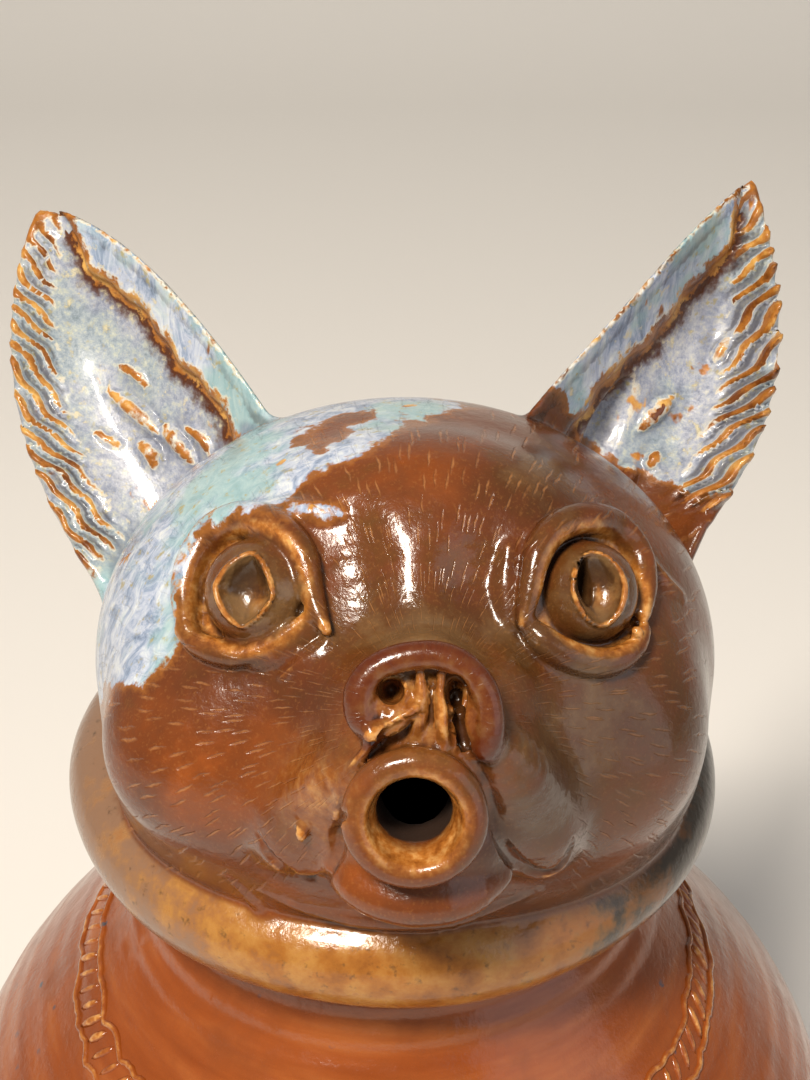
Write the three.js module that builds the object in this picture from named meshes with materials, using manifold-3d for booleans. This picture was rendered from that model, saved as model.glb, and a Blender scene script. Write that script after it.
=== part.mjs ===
// A salt-glazed stoneware pitcher: a round jug whose neck ends in a thick rolled collar,
// with a modelled dog's head on top. The open mouth is the spout, a second opening behind
// the ears fills the jug, and a strap handle stands at the back. All of it is one fired
// piece of clay, hollow inside. Millimetres, +Z up, the face towards -Y, and the origin in
// the middle of the flat foot.
import * as THREE from "three";
import { mergeVertices } from "three/addons/utils/BufferGeometryUtils.js";
import Module from "manifold-3d";

const wasm = await Module();
wasm.setup();

// Driving dimensions of the thrown jug, in millimetres
const footWidth = 96;
const footChamfer = 3;
const bellyWidth = 172;
const bellyHeight = 76;
const neckWidth = 82;
const neckHeight = 158;
const shoulderSweep = 1.1;
const collarWidth = 113;
const collarRoll = 16.6;
const collarHeight = 166.4;
const wall = 6;
const floorThickness = 8;

// The head: its size, its seat above the collar and how far the face looks up, in degrees
const headWidth = 100;
const headRise = 28.6;
const headForward = 10;
const headAside = 2;
const faceTilt = 35;

// Openings
const spoutBore = 11;
const spoutRootBore = 14;
const spoutLip = 4;
const fillWidth = 36;
const fillDepth = 35;
const fillLip = 4;
const fillTilt = 51;

// The handle
const handleWidth = 22;
const handleThickness = 10;
const handleReach = 54;
const handleFootHeight = 96;

// The rope of clay laid round the shoulder, lower in front than at the sides
const ropeWidth = 6.5;
const ropeRise = 1.8;
const ropeStrands = 44;
const ropeHeight = 129;
const ropeDrop = 8;

// Fineness of the faceted solids
const turns = 40;
const headTurns = 30;
const headRings = 20;

const vec = (x, y, z) => new THREE.Vector3(x, y, z);
const radians = THREE.MathUtils.degToRad;
const smoothstep = THREE.MathUtils.smoothstep;

// A closed geometry as a solid for joining and cutting
function solid(geometry) {
  const bare = geometry.clone();
  bare.deleteAttribute("normal");
  bare.deleteAttribute("uv");
  const merged = mergeVertices(bare, 1e-4);
  return new wasm.Manifold(
    new wasm.Mesh({
      numProp: 3,
      vertProperties: merged.attributes.position.array,
      triVerts: new Uint32Array(merged.index.array),
    }),
  );
}

// A finished solid as a geometry to put in a mesh
function geometryOf(made) {
  const mesh = made.getMesh();
  return new THREE.BufferGeometry()
    .setAttribute("position", new THREE.BufferAttribute(mesh.vertProperties, 3))
    .setIndex(new THREE.BufferAttribute(mesh.triVerts, 1));
}

const joined = (parts) => parts.reduce((all, part) => all.add(part));

// A profile of [radius, height] pairs turned about the Z axis
function turned(profile, segments = turns) {
  const points = profile.map(([radius, height]) => new THREE.Vector2(radius, height));
  return new THREE.LatheGeometry(points, segments).rotateX(Math.PI / 2);
}

// An ellipsoid with its centre, half axes and a rotation given as a quaternion
function egg(centre, half, turn = new THREE.Quaternion(), around = 14, rings = 10) {
  const matrix = new THREE.Matrix4().compose(centre, turn, half);
  return new THREE.SphereGeometry(1, around, rings).applyMatrix4(matrix);
}

// The turn that carries +Z onto a direction
const facing = (direction) =>
  new THREE.Quaternion().setFromUnitVectors(vec(0, 0, 1), direction.clone().normalize());

// The face frame: X across, Y up the face, Z straight out of it, with its origin in the
// middle of the skull. Sizes in it are shares of the head's width.
const headCentre = vec(headAside, -headForward, collarHeight + headRise);
const faceFrame = new THREE.Matrix4()
  .makeRotationX(radians(90 - faceTilt))
  .setPosition(headCentre);
const onFace = (u, v, w) => vec(u, v, w).multiplyScalar(headWidth);
const faceSolid = (geometry) => solid(geometry.applyMatrix4(faceFrame));

// The face's middle stands a little to the right of the skull's
const middle = 0.028;

// Half width of the jug's outside at a height: a rounded belly, and a shoulder that sweeps
// into the neck as half a cosine wave
function jugRadius(height) {
  const belly = bellyWidth / 2;
  if (height < bellyHeight) {
    const down = (bellyHeight - height) / bellyHeight;
    return belly - (belly - footWidth / 2) * down ** 2.4;
  }
  const share = Math.min((height - bellyHeight) / (neckHeight - bellyHeight), 1);
  const up = share ** shoulderSweep;
  const sweep = 0.5 + 0.5 * Math.cos(Math.PI * up);
  return neckWidth / 2 + (belly - neckWidth / 2) * sweep;
}

// Heights of the profile's rows between two levels
function rows(low, high, count) {
  return Array.from({ length: count + 1 }, (_, i) => low + ((high - low) * i) / count);
}

function jugBody() {
  const foot = footWidth / 2;
  const profile = [
    [0, 0],
    [foot - footChamfer, 0],
  ];
  for (const z of rows(footChamfer, neckHeight, 10)) profile.push([jugRadius(z), z]);
  profile.push([neckWidth / 2 + 1, collarHeight]);
  profile.push([0, collarHeight]);
  return solid(turned(profile));
}

// The hollow of the jug and its neck, up into the head
function jugCavity() {
  const neck = neckWidth / 2 - wall;
  const top = collarHeight + collarRoll / 2;
  const profile = [[0, floorThickness]];
  for (const z of rows(floorThickness, neckHeight, 7)) {
    profile.push([Math.max(jugRadius(z) - wall * 1.15, neck), z]);
  }
  profile.push([neck, top]);
  profile.push([0, top]);
  return solid(turned(profile, 24));
}

// The thick roll of clay that ends the neck
function collar() {
  const roll = collarRoll / 2;
  const ring = new THREE.TorusGeometry(collarWidth / 2 - roll, roll, 9, turns);
  return solid(ring.translate(0, 0, collarHeight));
}

// The skull, back of the head, jowls, muzzle and chin, each an ellipsoid in the face frame
const headForms = [
  { at: [0, 0, 0], half: [0.5, 0.42, 0.46], blend: 0.05 },
  { at: [0, -0.02, -0.14], half: [0.47, 0.38, 0.42], blend: 0.05 },
  { at: [0, -0.16, 0], half: [0.475, 0.3, 0.38], blend: 0.05 },
  { at: [middle, -0.1, 0.36], half: [0.18, 0.15, 0.22], blend: 0.08 },
  { at: [middle - 0.005, -0.24, 0.4], half: [0.14, 0.115, 0.13], blend: 0.03 },
].map((form) => ({
  at: onFace(...form.at),
  half: onFace(...form.half),
  blend: form.blend * headWidth,
}));

// About how far a point lies outside an ellipsoid
function ellipsoidGap(point, { at, half }) {
  const unit = point.clone().sub(at).divide(half);
  const length = unit.length();
  return (length * (length - 1)) / unit.divide(half).length();
}

// About how far a point of the face frame lies outside the head, its forms run together
function headGap(point) {
  let gap = Infinity;
  for (const form of headForms) {
    const next = ellipsoidGap(point, form);
    const near = Math.max(form.blend - Math.abs(gap - next), 0) / form.blend;
    gap = Math.min(gap, next) - (near * near * form.blend) / 4;
  }
  return gap;
}

// The furthest distance along a ray at which the head's gap falls to a level
function headReach(origin, direction, level) {
  const at = (t) => headGap(origin.clone().addScaledVector(direction, t)) - level;
  const step = headWidth / 40;
  let far = headWidth;
  while (far > 0 && at(far) > 0) far -= step;
  let near = far;
  far += step;
  for (let i = 0; i < 24; i++) {
    const half = (near + far) / 2;
    if (at(half) > 0) far = half;
    else near = half;
  }
  return near;
}

// The head's surface at a depth under its skin, a sphere pushed out along its rays, with
// its pole and so its finest facets at the muzzle
function headShell(depth, around, rings) {
  const sphere = new THREE.SphereGeometry(1, around, rings)
    .rotateX(Math.PI / 2)
    .applyQuaternion(facing(onFace(middle, -0.14, 0.5)));
  const merged = mergeVertices(sphere.deleteAttribute("normal").deleteAttribute("uv"), 1e-4);
  const position = merged.attributes.position;
  const ray = new THREE.Vector3();
  for (let i = 0; i < position.count; i++) {
    ray.fromBufferAttribute(position, i).normalize();
    ray.multiplyScalar(headReach(vec(0, 0, 0), ray, -depth));
    position.setXYZ(i, ray.x, ray.y, ray.z);
  }
  return faceSolid(merged);
}

// The point of the face's skin in front of a place across and up the face
function skin(u, v) {
  const from = onFace(u, v, 0);
  const out = vec(0, 0, 1);
  return from.addScaledVector(out, headReach(from, out, 0));
}

// Eyes: a ball in a thick rolled lid, with a carved pupil. side is -1 for the eye at the
// viewer's left and 1 for the one at the right.
const eyeAcross = 0.229;
const eyeUp = 0.084;
const eyeBall = 0.072;
const lidReach = 0.086;
const lidRoll = 0.022;
const eyeTurn = 0.34;

function eyePlace(side) {
  const at = skin(middle + side * eyeAcross, eyeUp);
  const out = vec(side * eyeTurn, 0.1, 1).normalize();
  return { at, out, turn: facing(out) };
}

function eye(side) {
  const { at, out, turn } = eyePlace(side);
  const ballCentre = at.clone().addScaledVector(out, -0.028 * headWidth);
  const ball = egg(ballCentre, onFace(eyeBall, eyeBall, eyeBall), turn, 14, 8);
  const lid = new THREE.TorusGeometry(lidReach * headWidth, lidRoll * headWidth, 6, 18);
  lid.scale(1, 1.02, 1.25).applyQuaternion(turn);
  lid.translate(at.x, at.y, at.z);
  const mound = egg(at, onFace(lidReach, lidReach, lidRoll * 2.4), turn, 12, 6);
  const tail = egg(
    skin(middle + side * (eyeAcross - 0.088), eyeUp - 0.045),
    onFace(0.024, 0.06, 0.035),
    new THREE.Quaternion().setFromAxisAngle(vec(0, 0, 1), -side * 0.38),
    6,
    5,
  );
  return joined([ball, lid, mound, tail].map(faceSolid));
}

function pupil(side) {
  const { at, out, turn } = eyePlace(side);
  const look = out.clone().add(vec(side < 0 ? -0.14 : 0.03, 0, 0)).normalize();
  const rim = at.clone().addScaledVector(look, 0.062 * headWidth);
  return faceSolid(egg(rim, onFace(0.036, 0.05, 0.035), turn, 10, 6));
}

// The nose: a rounded button with two wings curled round the nostrils
function nose() {
  const at = (u, v, w) => onFace(middle + u, v - 0.009, w);
  const bridge = egg(at(0, -0.04, 0.575), onFace(0.098, 0.06, 0.085), undefined, 11, 7);
  const pad = egg(at(0, -0.085, 0.575), onFace(0.05, 0.05, 0.065), undefined, 8, 6);
  const wings = [-1, 1].map((side) =>
    egg(
      at(side * 0.068, -0.064, 0.575),
      onFace(0.04, 0.056, 0.07),
      new THREE.Quaternion().setFromAxisAngle(vec(0, 0, 1), side * 0.25),
      9,
      6,
    ),
  );
  return joined([bridge, pad, ...wings].map(faceSolid));
}

function nostril(side) {
  const turn = new THREE.Quaternion().setFromAxisAngle(vec(0, 0, 1), side * 0.35);
  const at = onFace(middle + side * 0.046, -0.075, 0.65);
  return faceSolid(egg(at, onFace(0.02, 0.032, 0.07), turn, 8, 6));
}

// Flews: the loose upper lips that hang at both sides of the mouth
function flew(side) {
  const turn = new THREE.Quaternion().setFromAxisAngle(vec(0, 0, 1), side * 0.32);
  const at = onFace(middle + side * 0.135, -0.205, 0.42);
  return faceSolid(egg(at, onFace(0.062, 0.115, 0.1), turn, 11, 7));
}

// The mouth: a short round tube with a rolled lip, pointing a little below the gaze
const mouthAt = onFace(middle - 0.009, -0.213, 0.565);
const mouthOut = vec(0, -Math.sin(radians(22)), Math.cos(radians(22)));
const mouthDepth = 0.34 * headWidth;

function mouthTube() {
  const bore = spoutBore / 2;
  const outer = bore + spoutLip;
  const profile = [
    [0, -mouthDepth / 2],
    [outer * 0.84, -mouthDepth / 2],
    [outer * 0.86, -spoutLip * 1.6],
  ];
  for (let i = 0; i <= 6; i++) {
    const turn = -Math.PI / 3 + (i / 6) * (Math.PI * 5) / 6;
    const centre = bore + spoutLip / 2;
    profile.push([centre + (spoutLip / 2) * Math.cos(turn), (spoutLip / 2) * Math.sin(turn)]);
  }
  profile.push([0, spoutLip / 2]);
  return placedMouth(turned(profile, 18));
}

// The bore runs from the lip through the muzzle, wider as it goes, into the hollow head
function mouthBore() {
  const bore = spoutBore / 2;
  return placedMouth(
    turned(
      [
        [0, -mouthDepth],
        [spoutRootBore / 2, -mouthDepth],
        [bore, -spoutLip / 2],
        [bore + spoutLip / 2, spoutLip / 2 + 0.2],
        [bore + spoutLip / 2, spoutLip * 2],
        [0, spoutLip * 2],
      ],
      16,
    ),
  );
}

function placedMouth(geometry) {
  geometry.applyQuaternion(facing(mouthOut));
  return faceSolid(geometry.translate(mouthAt.x, mouthAt.y, mouthAt.z));
}

// Ears: upright scoops of clay. base and tip are places in the face frame, bow bends the
// ear sideways, cup is the depth of the hollow, fold the height of the rolled inner edge.
const ears = [
  {
    side: -1,
    base: [-0.348, 0.222, -0.01],
    tip: [-0.63, 0.76, -0.1],
    half: 0.198,
    taper: [2.6, 0.8],
    bow: 0.018,
    cup: 0.085,
    fold: 0.03,
  },
  {
    side: 1,
    base: [0.346, 0.29, -0.02],
    tip: [0.6, 0.815, -0.1],
    half: 0.178,
    taper: [2, 0.9],
    bow: 0.04,
    cup: 0.12,
    fold: 0.04,
  },
];
const earThick = 5.6;
const earTipThick = 3.4;
const earFlutes = 9;
const earRoot = 0.16;

// One point of an ear: along runs from the root in the head to the tip, and around goes
// once round the cross-section, which is a flat oval bent into a crescent
function earPoint(ear, along, around) {
  const base = onFace(...ear.base);
  const tip = onFace(...ear.tip);
  const axis = tip.clone().sub(base);
  const length = axis.length();
  axis.normalize();
  const inward = vec(0, 0, 1).cross(axis).multiplyScalar(ear.side).normalize();
  const front = axis.clone().cross(inward).multiplyScalar(ear.side).normalize();
  const t = -earRoot + (1 + earRoot) * along;
  const up = Math.max(t, 0);
  const root = smoothstep(along, 0, 0.08);
  const half = ear.half * headWidth * (1 - up ** ear.taper[0]) ** ear.taper[1] * root;
  const thick = THREE.MathUtils.lerp(earThick, earTipThick, up);
  const across = Math.sign(Math.cos(around)) * Math.abs(Math.cos(around)) ** 0.85;
  const tipward = 1 - smoothstep(up, 0.55, 1);
  let out = (thick / 2) * Math.sin(around) * Math.min(root, Math.min(1, 6 * (1 - along)));
  out -= ear.cup * headWidth * (1 - across * across) * tipward * root;
  out += 0.18 * half * across;
  if (Math.sin(around) > 0) {
    const rim = smoothstep(across, 0.4, 0.75) * (1 - smoothstep(across, 0.9, 1));
    out += ear.fold * headWidth * rim * tipward * root;
    const outerSide = smoothstep(-across, 0.05, 0.5);
    const ripple = Math.sin(2 * Math.PI * (earFlutes * up - 1.2 * across));
    out += 0.9 * ripple * outerSide * smoothstep(up, 0, 0.1) * (1 - smoothstep(up, 0.8, 1));
  }
  const sideways = half * across - ear.bow * headWidth * Math.sin(Math.PI * up);
  return base
    .addScaledVector(axis, t * length)
    .addScaledVector(inward, sideways)
    .addScaledVector(front, out);
}

function ear(spec) {
  const stations = 16;
  const around = 14;
  const points = [];
  for (let i = 0; i <= stations; i++) {
    for (let j = 0; j < around; j++) {
      points.push(earPoint(spec, i / stations, (spec.side * 2 * Math.PI * j) / around));
    }
  }
  const index = [];
  for (let i = 0; i < stations; i++) {
    for (let j = 0; j < around; j++) {
      const a = i * around + j;
      const b = i * around + ((j + 1) % around);
      index.push(a, b, a + around, b, b + around, a + around);
    }
  }
  const geometry = new THREE.BufferGeometry().setFromPoints(points).setIndex(index);
  return faceSolid(geometry);
}

// The filling mouth behind the ears, an oval hole in the back of the head with a low lip
const fillOut = vec(0, Math.sin(radians(fillTilt)), Math.cos(radians(fillTilt)));

function fillPlace() {
  const intoFace = faceFrame.clone().invert();
  const direction = fillOut.clone().transformDirection(intoFace);
  const from = vec(0, 0, collarHeight + headRise * 0.6).applyMatrix4(intoFace);
  const reach = headReach(from, direction, 0);
  return from.addScaledVector(direction, reach).applyMatrix4(faceFrame);
}

function fillRing(geometry) {
  const at = fillPlace();
  geometry.scale(1, fillDepth / fillWidth, 1).applyQuaternion(facing(fillOut));
  return solid(geometry.translate(at.x, at.y, at.z));
}

const fillRim = () =>
  fillRing(new THREE.TorusGeometry((fillWidth + fillLip) / 2, fillLip / 2, 5, 20));

function fillHole() {
  const reach = wall * 4;
  const plug = [
    [0, -reach],
    [fillWidth / 2, -reach],
    [fillWidth / 2, reach],
    [0, reach],
  ];
  return fillRing(turned(plug, 20));
}

// The strap handle, from the back of the collar round to the shoulder of the belly
function handle() {
  const top = vec(0, collarWidth / 2 - collarRoll * 0.7, collarHeight - 2);
  const foot = vec(0, jugRadius(handleFootHeight) - wall * 0.75, handleFootHeight);
  const out = collarWidth / 2 + handleReach;
  const path = new THREE.CatmullRomCurve3([
    top,
    vec(0, top.y + handleReach * 0.42, top.z + 4),
    vec(0, out - handleReach * 0.14, top.z - 8),
    vec(0, out, (top.z + foot.z) / 2 + 4),
    vec(0, out - handleReach * 0.17, foot.z + 9),
    vec(0, foot.y + wall, foot.z),
    foot,
  ]);
  const section = new THREE.Shape();
  section.absellipse(0, 0, handleWidth / 2, handleThickness / 2, 0, 2 * Math.PI);
  return solid(
    new THREE.ExtrudeGeometry(section, {
      steps: 14,
      extrudePath: path,
      curveSegments: 6,
    }),
  );
}

// The rope: a low band all round the shoulder, its crest rising and falling strand by
// strand, half a strand later along its upper edge than along its lower one
function rope() {
  const section = [
    [-0.5, -0.5],
    [-0.26, 1],
    [0.26, 1],
    [0.5, -0.5],
    [0, -1.5],
  ];
  const steps = 2 * ropeStrands;
  const points = [];
  for (let i = 0; i < steps; i++) {
    const angle = (2 * Math.PI * i) / steps;
    for (const [across, rise] of section) {
      const height = ropeHeight - ropeDrop * Math.cos(angle) + across * ropeWidth * 0.75;
      const hollow = rise > 0 && (i + (across > 0)) % 2 === 0;
      const radius = jugRadius(height) + rise * ropeRise * (hollow ? 0.25 : 1);
      points.push(vec(radius * Math.sin(angle), -radius * Math.cos(angle), height));
    }
  }
  return solid(ringSkin(points, steps, section.length));
}

// A closed skin over rings of points that follow each other round a loop
function ringSkin(points, rings, around) {
  const index = [];
  for (let i = 0; i < rings; i++) {
    for (let j = 0; j < around; j++) {
      const a = i * around + j;
      const b = i * around + ((j + 1) % around);
      const next = (i + 1 - (i + 1 === rings ? rings : 0)) * around;
      const c = next + j;
      const d = next + ((j + 1) % around);
      index.push(a, c, b, b, c, d);
    }
  }
  return new THREE.BufferGeometry().setFromPoints(points).setIndex(index);
}

function pitcher() {
  const outside = joined([
    jugBody(),
    collar(),
    rope(),
    handle(),
    headShell(0, headTurns, headRings),
    ...ears.map(ear),
    eye(-1),
    eye(1),
    nose(),
    flew(-1),
    flew(1),
    mouthTube(),
    fillRim(),
  ]);
  const hollow = joined([
    jugCavity(),
    headShell(wall, 18, 12),
    mouthBore(),
    fillHole(),
    pupil(-1),
    pupil(1),
    nostril(-1),
    nostril(1),
  ]);
  return outside.subtract(hollow);
}

const glaze = new THREE.MeshStandardMaterial({
  color: 0x9a5424,
  roughness: 0.28,
  metalness: 0,
});

const group = new THREE.Group();
const mesh = new THREE.Mesh(geometryOf(pitcher()), glaze);
mesh.name = "pitcher";
group.add(mesh);

export default group;
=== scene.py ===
# %% [markdown]
# # A dog head pitcher in salt-glazed stoneware
# The real pitcher is one fired piece of clay: a thrown jug with a thick rolled collar, and
# a modelled dog's head on top whose open mouth pours. Clay that is pressed and smeared
# together has no seams, so this lesson doesn't build it from Blender primitives. It
# measures the clay instead: one function says how far any point lies outside the surface,
# a skin is drawn where that distance is nought, and the glaze is painted by node material.

import math

import bpy
import numpy as np
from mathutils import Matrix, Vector


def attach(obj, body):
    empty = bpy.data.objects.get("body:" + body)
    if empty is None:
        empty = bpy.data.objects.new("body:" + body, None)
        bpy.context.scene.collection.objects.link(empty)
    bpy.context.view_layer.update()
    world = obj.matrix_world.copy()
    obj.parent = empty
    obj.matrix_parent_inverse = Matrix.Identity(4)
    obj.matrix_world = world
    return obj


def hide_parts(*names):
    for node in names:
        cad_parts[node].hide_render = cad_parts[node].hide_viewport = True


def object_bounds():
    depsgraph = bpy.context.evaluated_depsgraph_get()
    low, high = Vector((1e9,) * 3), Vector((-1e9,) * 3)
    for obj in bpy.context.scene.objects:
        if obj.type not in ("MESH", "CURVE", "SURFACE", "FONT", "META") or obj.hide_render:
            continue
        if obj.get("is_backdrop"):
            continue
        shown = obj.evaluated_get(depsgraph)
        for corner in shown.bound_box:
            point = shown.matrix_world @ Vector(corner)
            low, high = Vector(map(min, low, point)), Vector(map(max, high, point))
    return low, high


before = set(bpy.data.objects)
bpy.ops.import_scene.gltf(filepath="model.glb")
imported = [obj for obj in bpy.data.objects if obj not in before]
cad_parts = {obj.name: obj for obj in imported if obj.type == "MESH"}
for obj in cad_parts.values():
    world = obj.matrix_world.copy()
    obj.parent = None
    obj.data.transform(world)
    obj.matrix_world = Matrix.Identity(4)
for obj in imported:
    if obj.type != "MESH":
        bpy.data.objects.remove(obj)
bpy.context.view_layer.update()
cad_low, cad_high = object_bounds()
print("CAD box", [round(x, 4) for x in (*cad_low, *cad_high)])

# %% [markdown]
# ## Camera
# The photograph looks down on the face from close by, about 31 degrees below level. The
# face itself looks up by 35 degrees, so the camera stands on the line straight out of it.
# The middle of the photograph's pixels and the focal length in pixels turn a place on the
# photograph into a line of sight, which meets the clay between CLAY_NEAR and CLAY_FAR.

# %% Camera and the face's own frame
MM = 0.001
HEAD_WIDTH = 100.0
HEAD_CENTRE = np.array([2.0, -10.0, 195.0])
FACE_TILT = math.radians(35)
FACE = np.array(
    [
        [1, 0, 0],
        [0, math.sin(FACE_TILT), math.cos(FACE_TILT)],
        [0, -math.cos(FACE_TILT), math.sin(FACE_TILT)],
    ]
)
CAMERA_DISTANCE = 290.0
CAMERA_DOWN = math.radians(31.28)
FRAME_HEIGHT_ANGLE = math.radians(33.96)

camera_data = bpy.data.cameras.new("camera")
camera_data.sensor_fit = "VERTICAL"
camera_data.sensor_height = 36
camera_data.sensor_width = 36
camera_data.lens = 18 / math.tan(FRAME_HEIGHT_ANGLE / 2)
camera_data.clip_start = 0.01
camera_data.clip_end = 20
camera = bpy.data.objects.new("camera", camera_data)
bpy.context.scene.collection.objects.link(camera)
camera.location = (HEAD_CENTRE + FACE[2] * CAMERA_DISTANCE) * MM
camera.rotation_euler = (math.pi / 2 - CAMERA_DOWN, 0, 0)
bpy.context.scene.camera = camera

EYE_POINT = np.array([0, 0, CAMERA_DISTANCE])
LOOK = FACE @ [0, math.cos(CAMERA_DOWN), -math.sin(CAMERA_DOWN)]
OVER = FACE @ [0, math.sin(CAMERA_DOWN), math.cos(CAMERA_DOWN)]
PHOTO_X = 405
PHOTO_Y = 540
FOCAL = PHOTO_Y / math.tan(FRAME_HEIGHT_ANGLE / 2)
CLAY_NEAR = 195
CLAY_FAR = 345

# %% [markdown]
# ## Measuring clay
# Every form answers the same question: how far outside it does a point lie, in
# millimetres? Two forms joined are the smaller of the two answers, and a little rounding
# where the answers are close is the clay that a thumb smears into the joint.


# %% Joining, cutting and two basic forms
FAR_AWAY = 1e3


def smear(a, b, blend):
    """The smaller of two distances, rounded where they are about equal."""
    near = np.maximum(blend - np.abs(a - b), 0) / blend
    return np.minimum(a, b) - near * near * blend / 4


def carve(a, b, blend):
    """The first form with the second one taken out of it."""
    return -smear(-a, b, blend)


def ramp(x, low, high):
    t = np.clip((x - low) / (high - low), 0, 1)
    return t * t * (3 - 2 * t)


def egg_gap(q, at, half, turn=None):
    """Distance outside an ellipsoid; turn holds its three axes as rows."""
    unit = q - at
    if turn is not None:
        unit = unit @ turn.T
    unit = unit / half
    length = np.sqrt((unit * unit).sum(1)) + 1e-6
    unit = unit / half
    return length * (length - 1) / (np.sqrt((unit * unit).sum(1)) + 1e-6)


def coil_gap(q, path, radii):
    """Distance outside a coil of clay that follows a path and may taper."""
    gap = np.full(len(q), FAR_AWAY, np.float32)
    for a, b, ra, rb in zip(path[:-1], path[1:], radii[:-1], radii[1:]):
        d = b - a
        t = np.clip((q - a) @ d / (d @ d), 0, 1)
        off = q - a - t[:, None] * d
        gap = np.minimum(gap, np.sqrt((off * off).sum(1)) - (ra + (rb - ra) * t))
    return gap


def curved(points, count=4):
    """A smooth curve through the points, so that few are needed."""
    p = np.array([points[0], *points, points[-1]], float)
    t = np.linspace(0, 1, count, endpoint=False)[:, None]
    rows = [
        0.5
        * (
            2 * p[i + 1]
            + (p[i + 2] - p[i]) * t
            + (2 * p[i] - 5 * p[i + 1] + 4 * p[i + 2] - p[i + 3]) * t**2
            + (3 * p[i + 1] - p[i] - 3 * p[i + 2] + p[i + 3]) * t**3
        )
        for i in range(len(points) - 1)
    ]
    return np.concatenate([*rows, [p[-1]]])


# %% [markdown]
# ## The thrown jug
# A potter throws the jug on a wheel, so one outline turned about the axis gives it. The
# sizes are the CAD model's. Faint ridges on the neck are the marks of the fingers.

# %% Jug, collar, cavity and handle
FOOT_WIDTH = 96.0
BELLY_WIDTH = 172.0
BELLY_HEIGHT = 76.0
NECK_WIDTH = 82.0
NECK_HEIGHT = 158.0
COLLAR_WIDTH = 113.0
COLLAR_ROLL = 16.6
COLLAR_HEIGHT = 166.4
WALL = 6.0
FLOOR = 8.0
BAND_HEIGHT = 129.0
BAND_DROP = 8.0


def jug_radius(z):
    belly, foot, neck = BELLY_WIDTH / 2, FOOT_WIDTH / 2, NECK_WIDTH / 2
    down = np.clip((BELLY_HEIGHT - z) / BELLY_HEIGHT, 0, 1)
    share = np.clip((z - BELLY_HEIGHT) / (NECK_HEIGHT - BELLY_HEIGHT), 0, 1)
    sweep = 0.5 + 0.5 * np.cos(np.pi * share**1.1)
    low, high = belly - (belly - foot) * down**2.4, neck + (belly - neck) * sweep
    return np.where(z < BELLY_HEIGHT, low, high)


def band_height(around):
    """The carved band lies lower in front than at the back."""
    return BAND_HEIGHT - BAND_DROP * np.cos(around)


def jug_gap(p):
    """Outside of the jug up to the collar, without its hollow."""
    x, y, z = p.T
    r = np.hypot(x, y)
    slope = jug_radius(z + 0.5) - jug_radius(z - 0.5)
    around = np.arctan2(x, -y)
    rings = 0.1 * np.sin(z * 1.15 + 0.7 * np.sin(around * 2 + z * 0.11)) * ramp(z, 18, 60)
    neck = ramp(z, 126, 138) * (1 - ramp(z, 154, 158))
    rings = rings + 0.14 * np.sin(z * 1.5 + 1.1 * np.sin(around + z * 0.2)) * neck
    rings = rings + 0.5 * np.exp(-(((z - band_height(around)) / 3.2) ** 2))
    side = (r - jug_radius(z) - rings) / np.sqrt(1 + slope * slope)
    ends = np.maximum(-z, z - COLLAR_HEIGHT)
    return -smear(-side, -ends, 3.0)


def collar_gap(p):
    """The thick rolled collar, a little wider here and there than a true ring."""
    x, y, z = p.T
    around = np.arctan2(x, -y)
    roll = COLLAR_ROLL / 2 + 0.25 * np.sin(3 * around + 1) + 0.15 * np.sin(7 * around)
    return np.hypot(np.hypot(x, y) - (COLLAR_WIDTH - COLLAR_ROLL) / 2, z - COLLAR_HEIGHT) - roll


def hollow_gap(p):
    """The hollow of the jug and its neck."""
    x, y, z = p.T
    inside = np.maximum(jug_radius(z) - WALL * 1.15, NECK_WIDTH / 2 - WALL)
    side = np.hypot(x, y) - inside
    ends = np.maximum(FLOOR - z, z - COLLAR_HEIGHT - COLLAR_ROLL / 2)
    return -smear(-side, -ends, 8.0)


HANDLE_REACH = 54.0
HANDLE_FOOT = 96.0
HANDLE_WIDTH = 22.0
HANDLE_THICKNESS = 10.0
handle_top = COLLAR_WIDTH / 2 - COLLAR_ROLL * 0.7
handle_foot = float(jug_radius(np.array(HANDLE_FOOT))) - WALL * 0.75
handle_out = COLLAR_WIDTH / 2 + HANDLE_REACH
handle_rise = COLLAR_HEIGHT - 2
handle_path = curved(
    [
        (0, handle_top, handle_rise),
        (0, handle_top + HANDLE_REACH * 0.42, handle_rise + 4),
        (0, handle_out - HANDLE_REACH * 0.14, handle_rise - 8),
        (0, handle_out, (handle_rise + HANDLE_FOOT) / 2 + 4),
        (0, handle_out - HANDLE_REACH * 0.17, HANDLE_FOOT + 9),
        (0, handle_foot + WALL, HANDLE_FOOT),
        (0, handle_foot, HANDLE_FOOT),
    ],
    5,
)


def handle_gap(p):
    """A pulled strap: flat across, with a shallow thumb groove down its middle."""
    flat = p * np.array([0, 1, 1])
    off = coil_gap(flat, handle_path, np.zeros(len(handle_path)))
    x = p[:, 0]
    thick = HANDLE_THICKNESS / 2 * (1 - 0.2 * np.exp(-((x / 3.5) ** 2)))
    unit = np.stack([x / (HANDLE_WIDTH / 2), off / thick])
    length = np.sqrt((unit**2).sum(0)) + 1e-6
    slope = np.hypot(unit[0] / (HANDLE_WIDTH / 2), unit[1] / thick) + 1e-6
    return length * (length - 1) / slope


# %% [markdown]
# ## The head
# Skull, back of the head, jowls, muzzle and chin are five eggs of clay smeared into one.
# Places on the face are given across (u), up (v) and out (w), as shares of its width.


# %% Head forms and the skin they make
def share(*uvw):
    return np.array(uvw, float) * HEAD_WIDTH


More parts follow.
